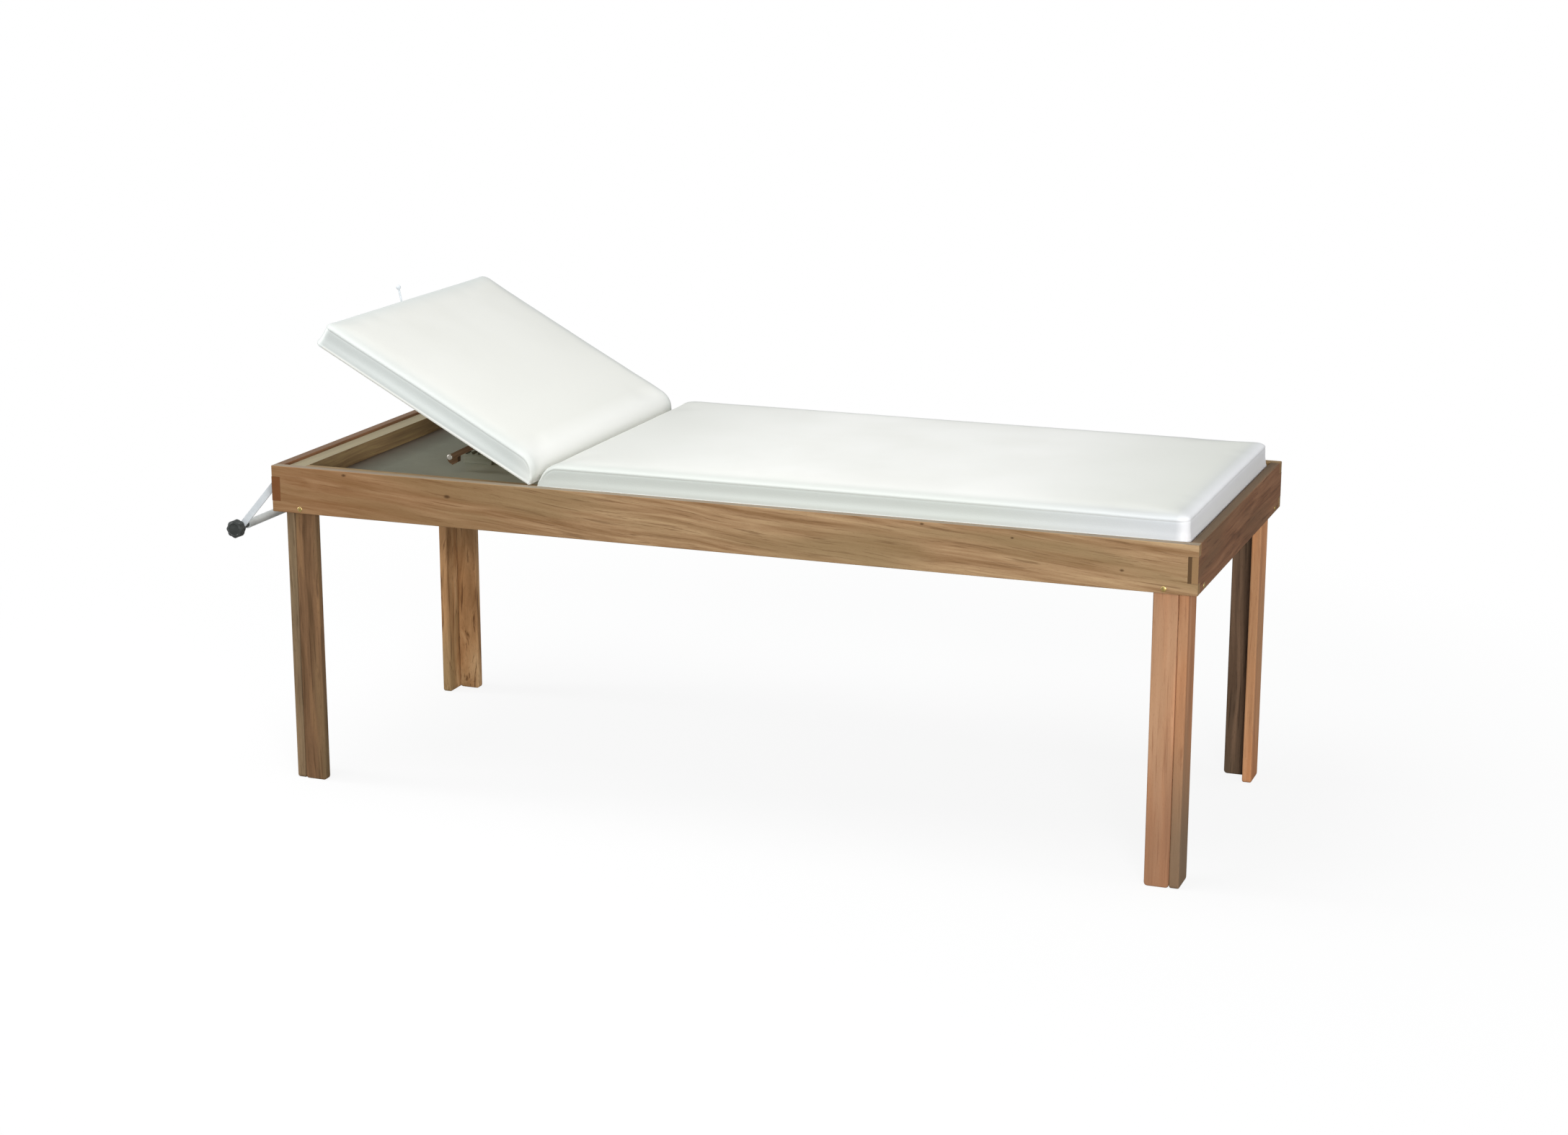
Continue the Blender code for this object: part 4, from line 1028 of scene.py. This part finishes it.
@dataclass
class Pad:
    """A boxed pad: a foam block on a plywood board under a sewn cover.

    In the pad's own frame u runs from the hinge end, v across and z up from the board's underside. The
    top sheet rolls over the edges and round the hinge end to a seam, and a band closes the sides and far end.
    """

    name: str
    node: str
    body: str
    length: float
    place: Matrix
    half_width: float = 0.376
    thickness: float = 0.0515
    hinge_radius: float = 0.045
    roll_width: float = 0.018
    roll_height: float = 0.010
    corner_radius: float = 0.022
    # How the foam fills the cover, and how the cloth's swell is carried over
    draw_in: float = 0.003
    crown: float = 0.0025
    swell_cap: float = 0.0035
    cloth_frames: int = 20
    blend_points: int = 12
    blend_reach: float = 0.014
    # Seam, band, bead at the foot and puckers
    groove_depth: float = 0.0016
    groove_width: float = 0.0024
    band_sink: float = 0.0010
    band_rise: float = 0.006
    band_run: float = 0.004
    bead_height: float = 0.0055
    bead_swell: float = 0.0012
    pucker: float = 0.0005
    pucker_reach: float = 0.010
    puckers_per_m: float = 42.0
    # Hem under the board, and the pocket that the board fills
    hem_width: float = 0.045
    hem_drop: float = 0.0001
    hem_tuck: float = 0.0008
    hem_inside: float = 0.2
    board_thickness: float = 0.012
    pocket_inset: float = 0.0031
    pocket_play: float = 0.0002
    # How far the rolled edge reaches down the hinge end; painted light on the far end, which takes part of
    # the top sheet's lighter colour, and painted shade on the rolls, which take part of the band's darker
    # colour
    corner_share: float = 0.15
    end_band_painted_light: float = 0.55
    end_painted_light_fade: float = 0.120
    roll_painted_shade: float = 0.88
    roll_painted_shade_fade: float = 0.028
    staple_inset: float = 0.0395
    staple_pitch: float = 0.038

    def _round(self, distance: float, radius: float) -> float:
        """Drop of a quarter-round edge at a distance in from it."""
        share = max(1 - distance / radius, 0.0)
        return radius * (1 - math.sqrt(1 - share**2))

    def _roll(self, distance: float) -> float:
        """Drop of the top sheet's rolled edge at a distance in from it."""
        return self._round(distance, self.roll_width) * self.roll_height / self.roll_width

    def _stations(self, fineness: Fineness) -> tuple[list[float], list[float], list[float], list[float], int]:
        """Divide the cover.

        Args:
            fineness: How finely.

        Returns:
            Distances in from a side, shares of a wall's height, places along the flat top, shares of the
            stretch before the far end, and steps round the hinge end.
        """
        roll, corner = self.roll_width, self.corner_radius
        if fineness is Fineness.CAGE:
            insets = [0.0, 0.3 * roll, roll, 0.034, 0.050]
            levels = [0.0, 0.33, 0.66, 1.0]
            reach = [2 * corner, 0.030, roll, 0.3 * roll, 0.0]
            step, arc_steps = 0.022, 6
        else:
            rolled = [roll * (1 - math.cos(math.radians(a))) for a in (0, 8, 16, 25, 35, 46, 59, 74, 90)]
            insets = [*rolled, corner, 0.028, 0.037, 0.048]
            wall_mm = 41.5
            heights_mm = (0, 1, 2.2, 3.6, 5, 6.4, 9, 14, 20, 26, 31, 35, 37.5, 39.2, 40.4, wall_mm)
            levels = [height_mm / wall_mm for height_mm in heights_mm]
            reach = [2 * corner, 0.036, 0.029, corner, *reversed(rolled)]
            step, arc_steps = 0.0125, 14
        middle = self.half_width - insets[-1]
        count = max(2, round(middle / step))
        insets += [insets[-1] + middle * (i + 1) / count for i in range(count)]
        start, end = self.hinge_radius, self.length - 2 * corner
        count = max(2, round((end - start) / step))
        tops = [start + (end - start) * (i + 1) / count for i in range(count - 1)]
        shares = [1 - distance / (2 * corner) for distance in reach]
        return insets, levels, tops, shares, arc_steps

    def _edge_distance(self, u: float, inset: float) -> float:
        """Plan distance from a point of the top to the nearest boxed edge.

        Args:
            u: The point's place along the pad.
            inset: Its distance in from the side.

        Returns:
            The distance.
        """
        corner = self.corner_radius
        beyond = u - (self.length - corner)
        if beyond > 0 and inset < corner:
            return max(corner - math.hypot(beyond, corner - inset), 0.0)
        return min(inset, self.length - u)

    def _row(self, inset: float, stations: tuple) -> list[tuple[float, float, float, float]]:
        """One row of the cover from the hinge end's foot over the top to the far end's foot.

        Args:
            inset: The row's distance in from the side.
            stations: The cover's divisions.

        Returns:
            (u, z, distance past the seam, band) for each point of the row.
        """
        _, levels, tops, shares, arc_steps = stations
        thick, bend, high = self.thickness, self.hinge_radius, self.roll_height
        drop = self._roll(inset)
        past = math.hypot(inset, high - drop)
        low = thick - bend
        row = [(self.corner_share * drop, low * level, past, 0.0) for level in levels]
        for i in range(1, arc_steps + 1):
            angle = math.pi / 2 * i / arc_steps
            z = low + (bend - drop) * math.sin(angle)
            rise = min(max((z - self.board_thickness) / self.board_thickness, 0.0), 1.0)
            back = drop * (self.corner_share + (1 - self.corner_share) * ease(rise))
            row.append((bend - (bend - back) * math.cos(angle), z, past, 0.0))
        row += [(u, thick - drop, past, 0.0) for u in tops]
        start = self.length - 2 * self.corner_radius
        reach = self.length - self._round(inset, self.corner_radius)
        for share in shares:
            u = start + (reach - start) * share
            distance = self._edge_distance(u, inset)
            fall = self._roll(distance)
            row.append((u, thick - fall, math.hypot(distance, high - fall), 0.0))
        wall = thick - high
        # The far end's middle takes part of the top sheet's lighter colour, as painted light
        share = 1 - (1 - self.end_band_painted_light) * ease(min(inset / self.end_painted_light_fade, 1.0))
        row += [(reach, wall * level, wall * (1 - level), share) for level in reversed(levels[:-1])]
        return row

    def _cover(self, fineness: Fineness) -> tuple[list, list, list, list, list]:
        """Build the cover's skin without its underside.

        Args:
            fineness: How finely.

        Returns:
            Points, faces, each point's distance past the seam, its share of band, and the loop of points
            round the foot.
        """
        stations = self._stations(fineness)
        insets, levels, tops, shares, arc_steps = stations
        points: list[tuple[float, float, float]] = []
        past: list[float] = []
        band: list[float] = []
        faces: list[tuple[int, ...]] = []
        half = self.half_width
        sides = [(inset - half, inset) for inset in insets]
        sides += [(half - inset, inset) for inset in insets[-2::-1]]
        rows: list[list[int]] = []
        for v, inset in sides:
            row = self._row(inset, stations)
            rows.append(list(range(len(points), len(points) + len(row))))
            points += [(u, v, z) for u, z, _, _ in row]
            past += [p for _, _, p, _ in row]
            band += [b for _, _, _, b in row]
        for first, second in zip(rows, rows[1:]):
            for k in range(len(first) - 1):
                faces.append((first[k], first[k + 1], second[k + 1], second[k]))
        start = len(levels) - 1
        end = start + arc_steps + len(tops) + len(shares)
        feet = []
        for row, v in ((rows[0], -half), (rows[-1], half)):
            columns = [list(row[: start + 1])]
            for k in range(start + 1, end):
                u, _, top = points[row[k]]
                column = list(range(len(points), len(points) + start))
                for level in levels[:-1]:
                    z = top * level
                    points.append((u, v, z))
                    past.append(self._band_distance(u, z))
                    band.append(1.0 if z > self.bead_height else 0.0)
                columns.append(column + [row[k]])
            columns.append(list(reversed(row[end:])))
            for left, right in zip(columns, columns[1:]):
                for j in range(start):
                    faces.append((left[j], left[j + 1], right[j + 1], right[j]))
            feet.append([column[0] for column in columns])
        loop = [row[0] for row in rows] + feet[1][1:]
        loop += [row[-1] for row in reversed(rows[:-1])] + feet[0][-2:0:-1]
        return points, faces, past, band, loop

    def _band_distance(self, u: float, z: float) -> float:
        """Distance from a point of a side band to the seam above it or round the hinge end.

        Args:
            u: The point's place along the pad.
            z: Its height.

        Returns:
            The distance.
        """
        bend, high = self.hinge_radius, self.roll_height
        low = self.thickness - bend
        if u >= bend:
            return self.thickness - high - z
        if z > low:
            return bend - high - math.hypot(bend - u, z - low)
        return u - high

    def _foot_normal(self, u: float, v: float) -> Vector:
        """Outward plan direction at a point of the foot.

        Args:
            u: The point's place along the pad.
            v: Its place across.

        Returns:
            The direction in u and v.
        """
        side = math.copysign(1.0, v)
        corner, roll = self.corner_radius, self.roll_height
        for radius, centre_u, way in ((corner, self.length - corner, 1.0), (roll, roll, -1.0)):
            off = Vector((u - centre_u, v - side * (self.half_width - radius)))
            if off.x * way > 0 and off.y * side > 0:
                return off.normalized()
        if min(u, self.length - u) < roll:
            return Vector((math.copysign(1.0, u - self.length / 2), 0.0))
        return Vector((0.0, side))

    def _blow(self) -> tuple[np.ndarray, np.ndarray]:
        """Blow a coarse cage of the cover up as cloth over its foam.

        Returns:
            The cage's points, and how far each of them moves.
        """
        points, faces, past, _, loop = self._cover(Fineness.CAGE)
        cage = add_mesh(f"{self.name}_cage", points, [*faces, tuple(loop)])
        held = [i for i, point in enumerate(points) if point[2] < TOUCH]
        seam = [i for i, distance in enumerate(past) if distance < TOUCH]
        cage.vertex_groups.new(name="held").add(held, 1.0, "REPLACE")
        cage.vertex_groups.new(name="seam").add(seam, 1.0, "REPLACE")
        bm = bmesh.new()
        bm.from_mesh(cage.data)
        bmesh.ops.recalc_face_normals(bm, faces=bm.faces)
        bmesh.ops.triangulate(bm, faces=[face for face in bm.faces if len(face.verts) > 4])
        bm.to_mesh(cage.data)
        bm.free()
        cloth = cage.modifiers.new("cover", "CLOTH")
        settings = cloth.settings
        settings.quality = 7
        settings.mass = 0.35
        settings.tension_stiffness = 45.0
        settings.compression_stiffness = 45.0
        settings.shear_stiffness = 20.0
        settings.bending_stiffness = 3.0
        settings.vertex_group_mass = "held"
        settings.vertex_group_shrink = "seam"
        settings.shrink_min = 0.0
        settings.shrink_max = 0.02
        settings.use_pressure = True
        settings.uniform_pressure_force = 4.0
        settings.effector_weights.gravity = 0.0
        cloth.point_cache.frame_start = 1
        cloth.point_cache.frame_end = self.cloth_frames
        scene = bpy.context.scene
        for frame in range(1, self.cloth_frames + 1):
            scene.frame_set(frame)
        graph = bpy.context.evaluated_depsgraph_get()
        blown = cage.evaluated_get(graph).to_mesh()
        moved = np.empty(len(blown.vertices) * 3)
        blown.vertices.foreach_get("co", moved)
        cage.evaluated_get(graph).to_mesh_clear()
        scene.frame_set(1)
        bpy.data.objects.remove(cage)
        rest = np.array(points)
        return rest, moved.reshape(-1, 3) - rest

    def _swell(self, points: np.ndarray) -> np.ndarray:
        """Carry the blown cage's swell over to the finished cover.

        Args:
            points: The finished cover's points.

        Returns:
            How far each of them moves.
        """
        rest, shift = self._blow()
        length = np.linalg.norm(shift, axis=1, keepdims=True)
        LOG.info("%s swelled by up to %.1f mm", self.name, length.max() / MM)
        shift *= self.swell_cap * np.tanh(length / self.swell_cap) / np.maximum(length, 1e-9)
        tree = kdtree.KDTree(len(rest))
        for i, point in enumerate(rest):
            tree.insert(point, i)
        tree.balance()
        result = np.zeros_like(points)
        for k, point in enumerate(points):
            near = tree.find_n(point, self.blend_points)
            distances = np.array([distance for _, _, distance in near])
            weights = np.exp(-((distances / self.blend_reach) ** 2)) + 1e-6
            numbers = [i for _, i, _ in near]
            result[k] = (weights[:, None] * shift[numbers]).sum(0) / weights.sum()
        return result

    def _detail(self, point: Vector, past: float, band: float) -> float:
        """How far a point of the cover stands out for its seam, band, bead and puckers.

        Args:
            point: The point in the pad's frame.
            past: Its distance past the seam.
            band: 1 on the band, 0 on the top sheet.

        Returns:
            The offset along the normal.
        """
        out = -self.groove_depth * math.exp(-((past / self.groove_width) ** 2))
        ripple = noise.noise(Vector((point.x, point.y, 0.3 * point.z)) * self.puckers_per_m)
        out += self.pucker * ripple * math.exp(-past / self.pucker_reach)
        if point.z < self.bead_height:
            out += self.bead_swell * math.sin(math.pi * max(point.z, 0.0) / self.bead_height)
        elif band > 0.5:
            depth = min((point.z - self.board_thickness) / self.band_rise, past / self.band_run, 1.0)
            out -= self.band_sink * max(depth, 0.0)
        return out

    def _shaped(self, skin: np.ndarray) -> np.ndarray:
        """Swell, crown and draw in the cover.

        Args:
            skin: The cover's points as cut.

        Returns:
            The points as stuffed.
        """
        moved = skin.copy()
        height = skin[:, 2]
        moved += self._swell(skin)
        moved[:, 2] = np.where(height < TOUCH, height, np.maximum(moved[:, 2], 0.5 * height))
        along = 2 * np.clip((skin[:, 0] - self.hinge_radius) / (self.length - self.hinge_radius), 0, 1) - 1
        across = skin[:, 1] / self.half_width
        lift = np.clip(height / self.thickness, 0, 1) ** 3
        moved[:, 2] += self.crown * (1 - along**4) * (1 - across**4) * lift
        rise = np.clip((height - self.board_thickness) / self.board_thickness, 0, 1)
        drawn = self.draw_in * np.sin(np.pi * skin[:, 0] / self.length) * ease(rise)
        moved[:, 1] *= 1 - drawn / self.half_width
        return moved

    def _sew(self, obj: Object, past: Sequence[float], band: Sequence[float]) -> None:
        """Press the seam, band, bead and puckers into the skin.

        Args:
            obj: The open skin.
            past: Each point's distance past the seam.
            band: Each point's share of band.
        """
        bm = bmesh.new()
        bm.from_mesh(obj.data)
        bmesh.ops.recalc_face_normals(bm, faces=bm.faces)
        bm.normal_update()
        highest = max(bm.verts, key=lambda vert: vert.co.z)
        if highest.normal.z < 0:
            bmesh.ops.reverse_faces(bm, faces=bm.faces)
            bm.normal_update()
        offsets = [
            vert.normal * self._detail(vert.co, distance, share)
            for vert, distance, share in zip(bm.verts, past, band)
        ]
        for vert, offset in zip(bm.verts, offsets):
            if vert.co.z < TOUCH:
                offset.z = 0.0
            vert.co += offset
            vert.co.z = max(vert.co.z, 0.0)
        bm.to_mesh(obj.data)
        bm.free()

    def _close_underside(self, obj: Object) -> None:
        """Fold the cover under the board as a hem, and line the pocket that the board fills.

        Args:
            obj: The open skin.
        """
        bm = bmesh.new()
        bm.from_mesh(obj.data)
        edge = next(edge for edge in bm.edges if edge.is_boundary)
        foot = [edge.verts[0]]
        vert = edge.verts[1]
        while vert is not foot[0]:
            foot.append(vert)
            edge = next(other for other in vert.link_edges if other.is_boundary and other is not edge)
            vert = edge.other_vert(vert)
        inside = -self.hem_inside * self.hem_drop
        rings = []
        for inset, z in (
            (self.hem_tuck, -self.hem_drop),
            (self.hem_width, -self.hem_drop),
            (self.hem_width, inside),
            (self.pocket_inset, inside),
            (self.pocket_inset, self.board_thickness + self.pocket_play),
        ):
            ring = []
            for vert in foot:
                u, v = vert.co.x, vert.co.y
                if inset < self.roll_height:
                    step = self._foot_normal(u, v) * inset
                    u, v = u - step.x, v - step.y
                else:
                    half = self.half_width - inset
                    u, v = min(max(u, inset), self.length - inset), min(max(v, -half), half)
                ring.append(bm.verts.new((u, v, z)))
            rings.append(ring)
        for first, second in zip([foot, *rings], rings):
            for i in range(len(foot)):
                bm.faces.new((first[i - 1], first[i], second[i], second[i - 1]))
        bm.faces.new(rings[-1])
        bmesh.ops.remove_doubles(bm, verts=[vert for ring in rings for vert in ring], dist=1e-7)
        bmesh.ops.recalc_face_normals(bm, faces=bm.faces)
        bm.to_mesh(obj.data)
        bm.free()

    def staples(self, start: float) -> list[Fastener]:
        """Place staples along the hem's inner edge, on both sides and the far end.

        Args:
            start: Where the rows on the sides begin.

        Returns:
            The staples.
        """
        out = self.place.to_3x3() @ Vector((0, 0, -1))
        half, end = self.half_width - self.staple_inset, self.length - self.staple_inset
        count = round((end - start) / self.staple_pitch)
        rows = []
        for i in range(count):
            u = start + (end - start) * i / count
            rows += [(u, -half, 0.0), (u, half, 0.0)]
        count = round(2 * half / self.staple_pitch)
        rows += [(end, half * (2 * i / count - 1), math.pi / 2) for i in range(1, count)]
        return [Fastener(self.place @ Vector((u, v, -self.hem_drop)), out, spin) for u, v, spin in rows]

    def build(self, cover: Material) -> None:
        """Make the finished pad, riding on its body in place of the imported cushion.

        Args:
            cover: The cover's material.
        """
        points, faces, past, band, _ = self._cover(Fineness.FINE)
        obj = add_mesh(self.name, self._shaped(np.array(points)), faces, cover)
        # The rolls beside the seam take part of the band's darker colour, as painted shade
        tone = [
            max(share, self.roll_painted_shade * math.exp(-((distance / self.roll_painted_shade_fade) ** 2)))
            for share, distance in zip(band, past)
        ]
        obj.data.attributes.new("band", "FLOAT", "POINT").data.foreach_set("value", tone)
        self._sew(obj, past, band)
        smooth = obj.modifiers.new("smooth", "SUBSURF")
        smooth.levels = 1
        smooth.render_levels = 1
        bake_modifiers(obj)
        self._close_underside(obj)
        obj.data.transform(self.place)
        obj.data.shade_smooth()
        obj.data.set_sharp_from_angle(angle=math.radians(60))
        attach(obj, self.body)
        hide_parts(self.node)
        LOG.info("%s: %d faces", self.name, len(obj.data.polygons))


@dataclass
class Backrest:
    """The backrest's fittings: board, hinges, brackets and prop."""

    def build(self, steel: Material) -> None:
        """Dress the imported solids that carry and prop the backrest.

        Args:
            steel: The finish of the hinges, brackets and rods.
        """
        PLYWOOD.dress(Board("seat_board", Grain.ALONG, 0.41), Board("backrest_board", Grain.BACKREST, 2.73))
        bright = NICKEL.material()
        for side in ("near", "far"):
            for leaf in ("seat_leaf", "backrest_leaf", "pin"):
                dress(f"hinge_{side}_{leaf}", steel)
            dress(f"prop_bracket_{side}", steel)
            dress(f"prop_rod_cap_{side}", bright)
            PROP_TIMBER.dress(Board(f"prop_arm_{side}", Grain.PROP, 1.9))
            RACK_TIMBER.dress(Board(f"prop_rack_{side}", Grain.ALONG, 3.3))
        dress("prop_pivot_rod", steel)
        dress("prop_foot_rod", steel)
        LOG.info("backrest fittings dressed")


@dataclass
class RollHolder:
    """The paper-roll holder at the head end."""

    def build(self, steel: Material) -> None:
        """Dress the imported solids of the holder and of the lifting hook.

        Args:
            steel: The finish of the cap nut.
        """
        enamel = ENAMEL.material()
        plastic = MOULDED.material()
        for side in ("near", "far"):
            dress(f"roll_arm_{side}", enamel)
            dress(f"roll_bush_{side}", plastic)
        dress("lift_hook", enamel)
        dress("roll_rod", GREY_LACQUER.material())
        dress("roll_cap_nut", steel)
        dress("roll_knob", plastic)
        LOG.info("roll holder dressed")


@dataclass
class Studio:
    """Camera, soft lamps, pale floor and white surround."""

    camera_place: tuple[float, float, float] = (2.16505, -5.5407, 1.9926)
    camera_yaw: float = 0.3607
    camera_pitch: float = 0.2514
    focal_pixels: float = 3947.8
    picture_width: float = 2175.0
    sensor_mm: float = 36.0
    lamp_aim: tuple[float, float, float] = (0.1, 0.0, 0.65)
    surround: float = 0.35
    floor_half: float = 30.0
    # Distances from the middle over which the floor turns white to the camera, and how white it is there
    floor_reach: tuple[float, float] = (1.2, 2.6)
    floor_white: tuple[float, float] = (0.88, 1.0)

    def build(self) -> None:
        """Make the camera, the lamps, the world and the floor."""
        self._camera()
        self._lamps()
        self._world()
        self._floor()

    def _camera(self) -> None:
        """Set the camera at the photograph's angle."""
        data = bpy.data.cameras.new("camera")
        data.sensor_width = self.sensor_mm
        data.sensor_fit = "HORIZONTAL"
        data.lens = self.focal_pixels / self.picture_width * self.sensor_mm
        camera = bpy.data.objects.new("camera", data)
        yaw, pitch = self.camera_yaw, self.camera_pitch
        right = Vector((math.cos(yaw), math.sin(yaw), 0.0))
        ahead = Vector((-math.sin(yaw) * math.cos(pitch), math.cos(yaw) * math.cos(pitch), -math.sin(pitch)))
        up = right.cross(ahead)
        turn = Matrix((right, up, -ahead)).transposed()
        camera.matrix_world = Matrix.Translation(self.camera_place) @ turn.to_4x4()
        bpy.context.scene.collection.objects.link(camera)
        bpy.context.scene.camera = camera

    def _lamps(self) -> None:
        """Hang a large softbox over the table and stand softer lamps before its near side and both ends."""
        for name, place, size, power in (
            ("overhead", Vector((-0.8, -0.9, 4.1)), 3.0, 93.0),
            ("front", Vector((3.2, -5.6, 1.9)), 2.0, 230.0),
            ("side", Vector((6.0, -0.5, 1.4)), 2.0, 32.0),
            ("head", Vector((-4.8, -0.7, 2.0)), 1.6, 100.0),
        ):
            data = bpy.data.lights.new(name, "AREA")
            data.shape = "DISK"
            data.size = size
            data.energy = power
            lamp = bpy.data.objects.new(name, data)
            lamp.location = place
            lamp.rotation_mode = "QUATERNION"
            lamp.rotation_quaternion = (Vector(self.lamp_aim) - place).to_track_quat("-Z", "Y")
            bpy.context.scene.collection.objects.link(lamp)

    def _world(self) -> None:
        """Set a surround that is white to the camera, and a softer grey as light."""
        world = bpy.data.worlds.new("surround")
        world.use_nodes = True
        tree = world.node_tree
        tree.nodes.clear()
        seen = add_node(tree, "ShaderNodeLightPath").outputs["Is Camera Ray"]
        white = add_node(tree, "ShaderNodeBackground", {"Color": (1, 1, 1, 1), "Strength": 1.0})
        grey = add_node(tree, "ShaderNodeBackground", {"Color": linear("#F4F7FB"), "Strength": self.surround})
        mixed = add_node(tree, "ShaderNodeMixShader", {0: seen, 1: grey, 2: white})
        add_node(tree, "ShaderNodeOutputWorld", {"Surface": mixed})
        bpy.context.scene.world = world

    def _floor(self) -> None:
        """Lay a pale floor that keeps a soft shadow and throws little light back up."""
        material, tree, coords = new_material("pale_floor")
        tree.nodes.remove(tree.nodes["Principled BSDF"])
        seen = add_node(tree, "ShaderNodeLightPath").outputs["Is Camera Ray"]
        away = add_node(tree, "ShaderNodeVectorMath", {0: coords.outputs["Object"]}, operation="LENGTH")
        (near, far), (dim, full) = self.floor_reach, self.floor_white
        scale = {"Value": away, "From Min": near, "From Max": far, "To Min": dim, "To Max": full}
        fade = add_node(tree, "ShaderNodeMapRange", scale, interpolation_type="SMOOTHSTEP")
        paint = add_node(tree, "ShaderNodeBsdfDiffuse", {"Color": linear("#F8F8F8")})
        glow = add_node(tree, "ShaderNodeEmission", {"Color": (1, 1, 1, 1), "Strength": 1.0})
        shown = add_node(tree, "ShaderNodeMixShader", {0: fade, 1: paint, 2: glow})
        dull = add_node(tree, "ShaderNodeBsdfDiffuse", {"Color": linear("#A0A09E")})
        mixed = add_node(tree, "ShaderNodeMixShader", {0: seen, 1: dull, 2: shown})
        feed(tree, tree.nodes["Material Output"], {"Surface": mixed})
        half = self.floor_half
        corners = [(-half, -half, 0), (half, -half, 0), (half, half, 0), (-half, half, 0)]
        floor = add_mesh("floor", corners, [(0, 1, 2, 3)], material)


def packed_screw(node: str, out: Vector, spin: float) -> Fastener:
    """Find where the head of a packed screw sits.

    Args:
        node: The screw's node.
        out: The way that its head points, along X or Y.
        spin: The turn of its slot.

    Returns:
        The screw.
    """
    low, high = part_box(node)
    place = (low + high) / 2
    axis = 0 if out.x else 1
    place[axis] = (high if out[axis] > 0 else low)[axis] - out[axis] * SCREW_PROUD
    return Fastener(place, out, spin)


def leg_screws() -> dict[str, Fastener]:
    """Find the brass screws that hold the legs.

    Returns:
        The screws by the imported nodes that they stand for.
    """
    screws = {}
    for i, (end, way_x) in enumerate((("head", -1), ("foot", 1))):
        for j, (side, way_y) in enumerate((("near", -1), ("far", 1))):
            for k, (face, out) in enumerate((("end", (way_x, 0, 0)), ("side", (0, way_y, 0)))):
                node = f"leg_screw_{end}_{side}_{face}"
                screws[node] = packed_screw(node, Vector(out), 0.9 + 1.7 * i + 2.3 * j + 0.6 * k)
    return screws


def roll_arm_screws() -> dict[str, Fastener]:
    """Find the screws that hold the roll arms.

    Returns:
        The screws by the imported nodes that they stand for.
    """
    screws = {}
    for i, side in enumerate(("near", "far")):
        for j, place in enumerate(("upper", "lower")):
            node = f"roll_arm_screw_{side}_{place}"
            screws[node] = packed_screw(node, Vector((-1, 0, 0)), 0.4 + 1.1 * i + 2.0 * j)
    return screws


def hinge_screws(frame: Matrix, way: int) -> list[Fastener]:
    """Place three screws under each hinge leaf of one pad.

    Args:
        frame: The pad's frame on the hinge axis.
        way: 1 for the seat's leaves, -1 for the backrest's.

    Returns:
        The screws.
    """
    out = frame.to_3x3() @ Vector((0, 0, -1))
    screws = []
    for y in (-HINGE_Y, HINGE_Y):
        for i, (x, aside) in enumerate(LEAF_SCREWS):
            place = frame @ Vector((way * x, y + aside, LEAF_UNDERSIDE))
            screws.append(Fastener(place, out, 0.5 + 1.9 * i + y))
    return screws


def bracket_screws() -> list[Fastener]:
    """Place two screws under each bracket of the prop's pivot rod.

    Returns:
        The screws.
    """
    out = BACKREST_FRAME.to_3x3() @ Vector((0, 0, -1))
    screws = []
    for y in (-BRACKET_SCREW_Y, BRACKET_SCREW_Y):
        for step in (-BRACKET_SCREW_STEP, BRACKET_SCREW_STEP):
            place = BACKREST_FRAME @ Vector((BRACKET_X + step, y, BRACKET_UNDERSIDE))
            screws.append(Fastener(place, out, 0.3 + 60 * step + y))
    return screws


def main() -> None:
    """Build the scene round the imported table."""
    logging.basicConfig(level=logging.INFO, format="%(name)s: %(message)s")
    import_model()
    bpy.context.scene.view_settings.view_transform = "Standard"
    for name in ("Cube", "Light", "Camera"):
        startup = bpy.data.objects.get(name)
        if startup is not None:
            bpy.data.objects.remove(startup)
    Studio().build()
    steel = ZINC.material()
    brass = BRASS.material()
    TableFrame().build()
    Legs().build()
    Backrest().build(steel)
    RollHolder().build(steel)
    seat_low, seat_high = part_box("seat_cushion")
    seat_place = Matrix.Translation((seat_low.x, 0.0, seat_low.z))
    back_place = BACKREST_FRAME @ Matrix.Translation((-HINGE_GAP, 0.0, HINGE_DROP)) @ HALF_TURN
    seat = Pad("seat_pad", "seat_cushion", "frame", seat_high.x - seat_low.x, seat_place)
    seat.build(SEAT_COVER.material())
    back = Pad("backrest_pad", "backrest_cushion", "backrest", BACKREST_LENGTH, back_place)
    back.build(BACKREST_COVER.material())
    legs = leg_screws()
    ScrewSet("leg_screws", "frame", "brass", brass, head_radius=0.0055).build([*legs.values()], [*legs])
    arms = roll_arm_screws()
    short = {"head_radius": 0.0045, "shank_length": 0.016}
    ScrewSet("roll_arm_screws", "frame", "zinc_steel", steel, **short).build([*arms.values()], [*arms])
    small = {"head_radius": 0.0034, "head_height": 0.0011, "slot_width": 0.0008, "slot_depth": 0.0006}
    small["shank_length"] = 0.010
    seat_leaves = hinge_screws(Matrix.Translation(HINGE_AXIS), 1)
    ScrewSet("seat_hinge_screws", "frame", "zinc_steel", steel, **small).build(seat_leaves)
    back_screws = hinge_screws(BACKREST_FRAME, -1) + bracket_screws()
    ScrewSet("backrest_screws", "backrest", "zinc_steel", steel, **small).build(back_screws)
    StapleSet("seat_staples", "frame", "zinc_steel", steel).build(seat.staples(SEAT_STAPLE_START))
    StapleSet("backrest_staples", "backrest", "zinc_steel", steel).build(back.staples(BACKREST_STAPLE_START))


if __name__ == "__main__":
    main()
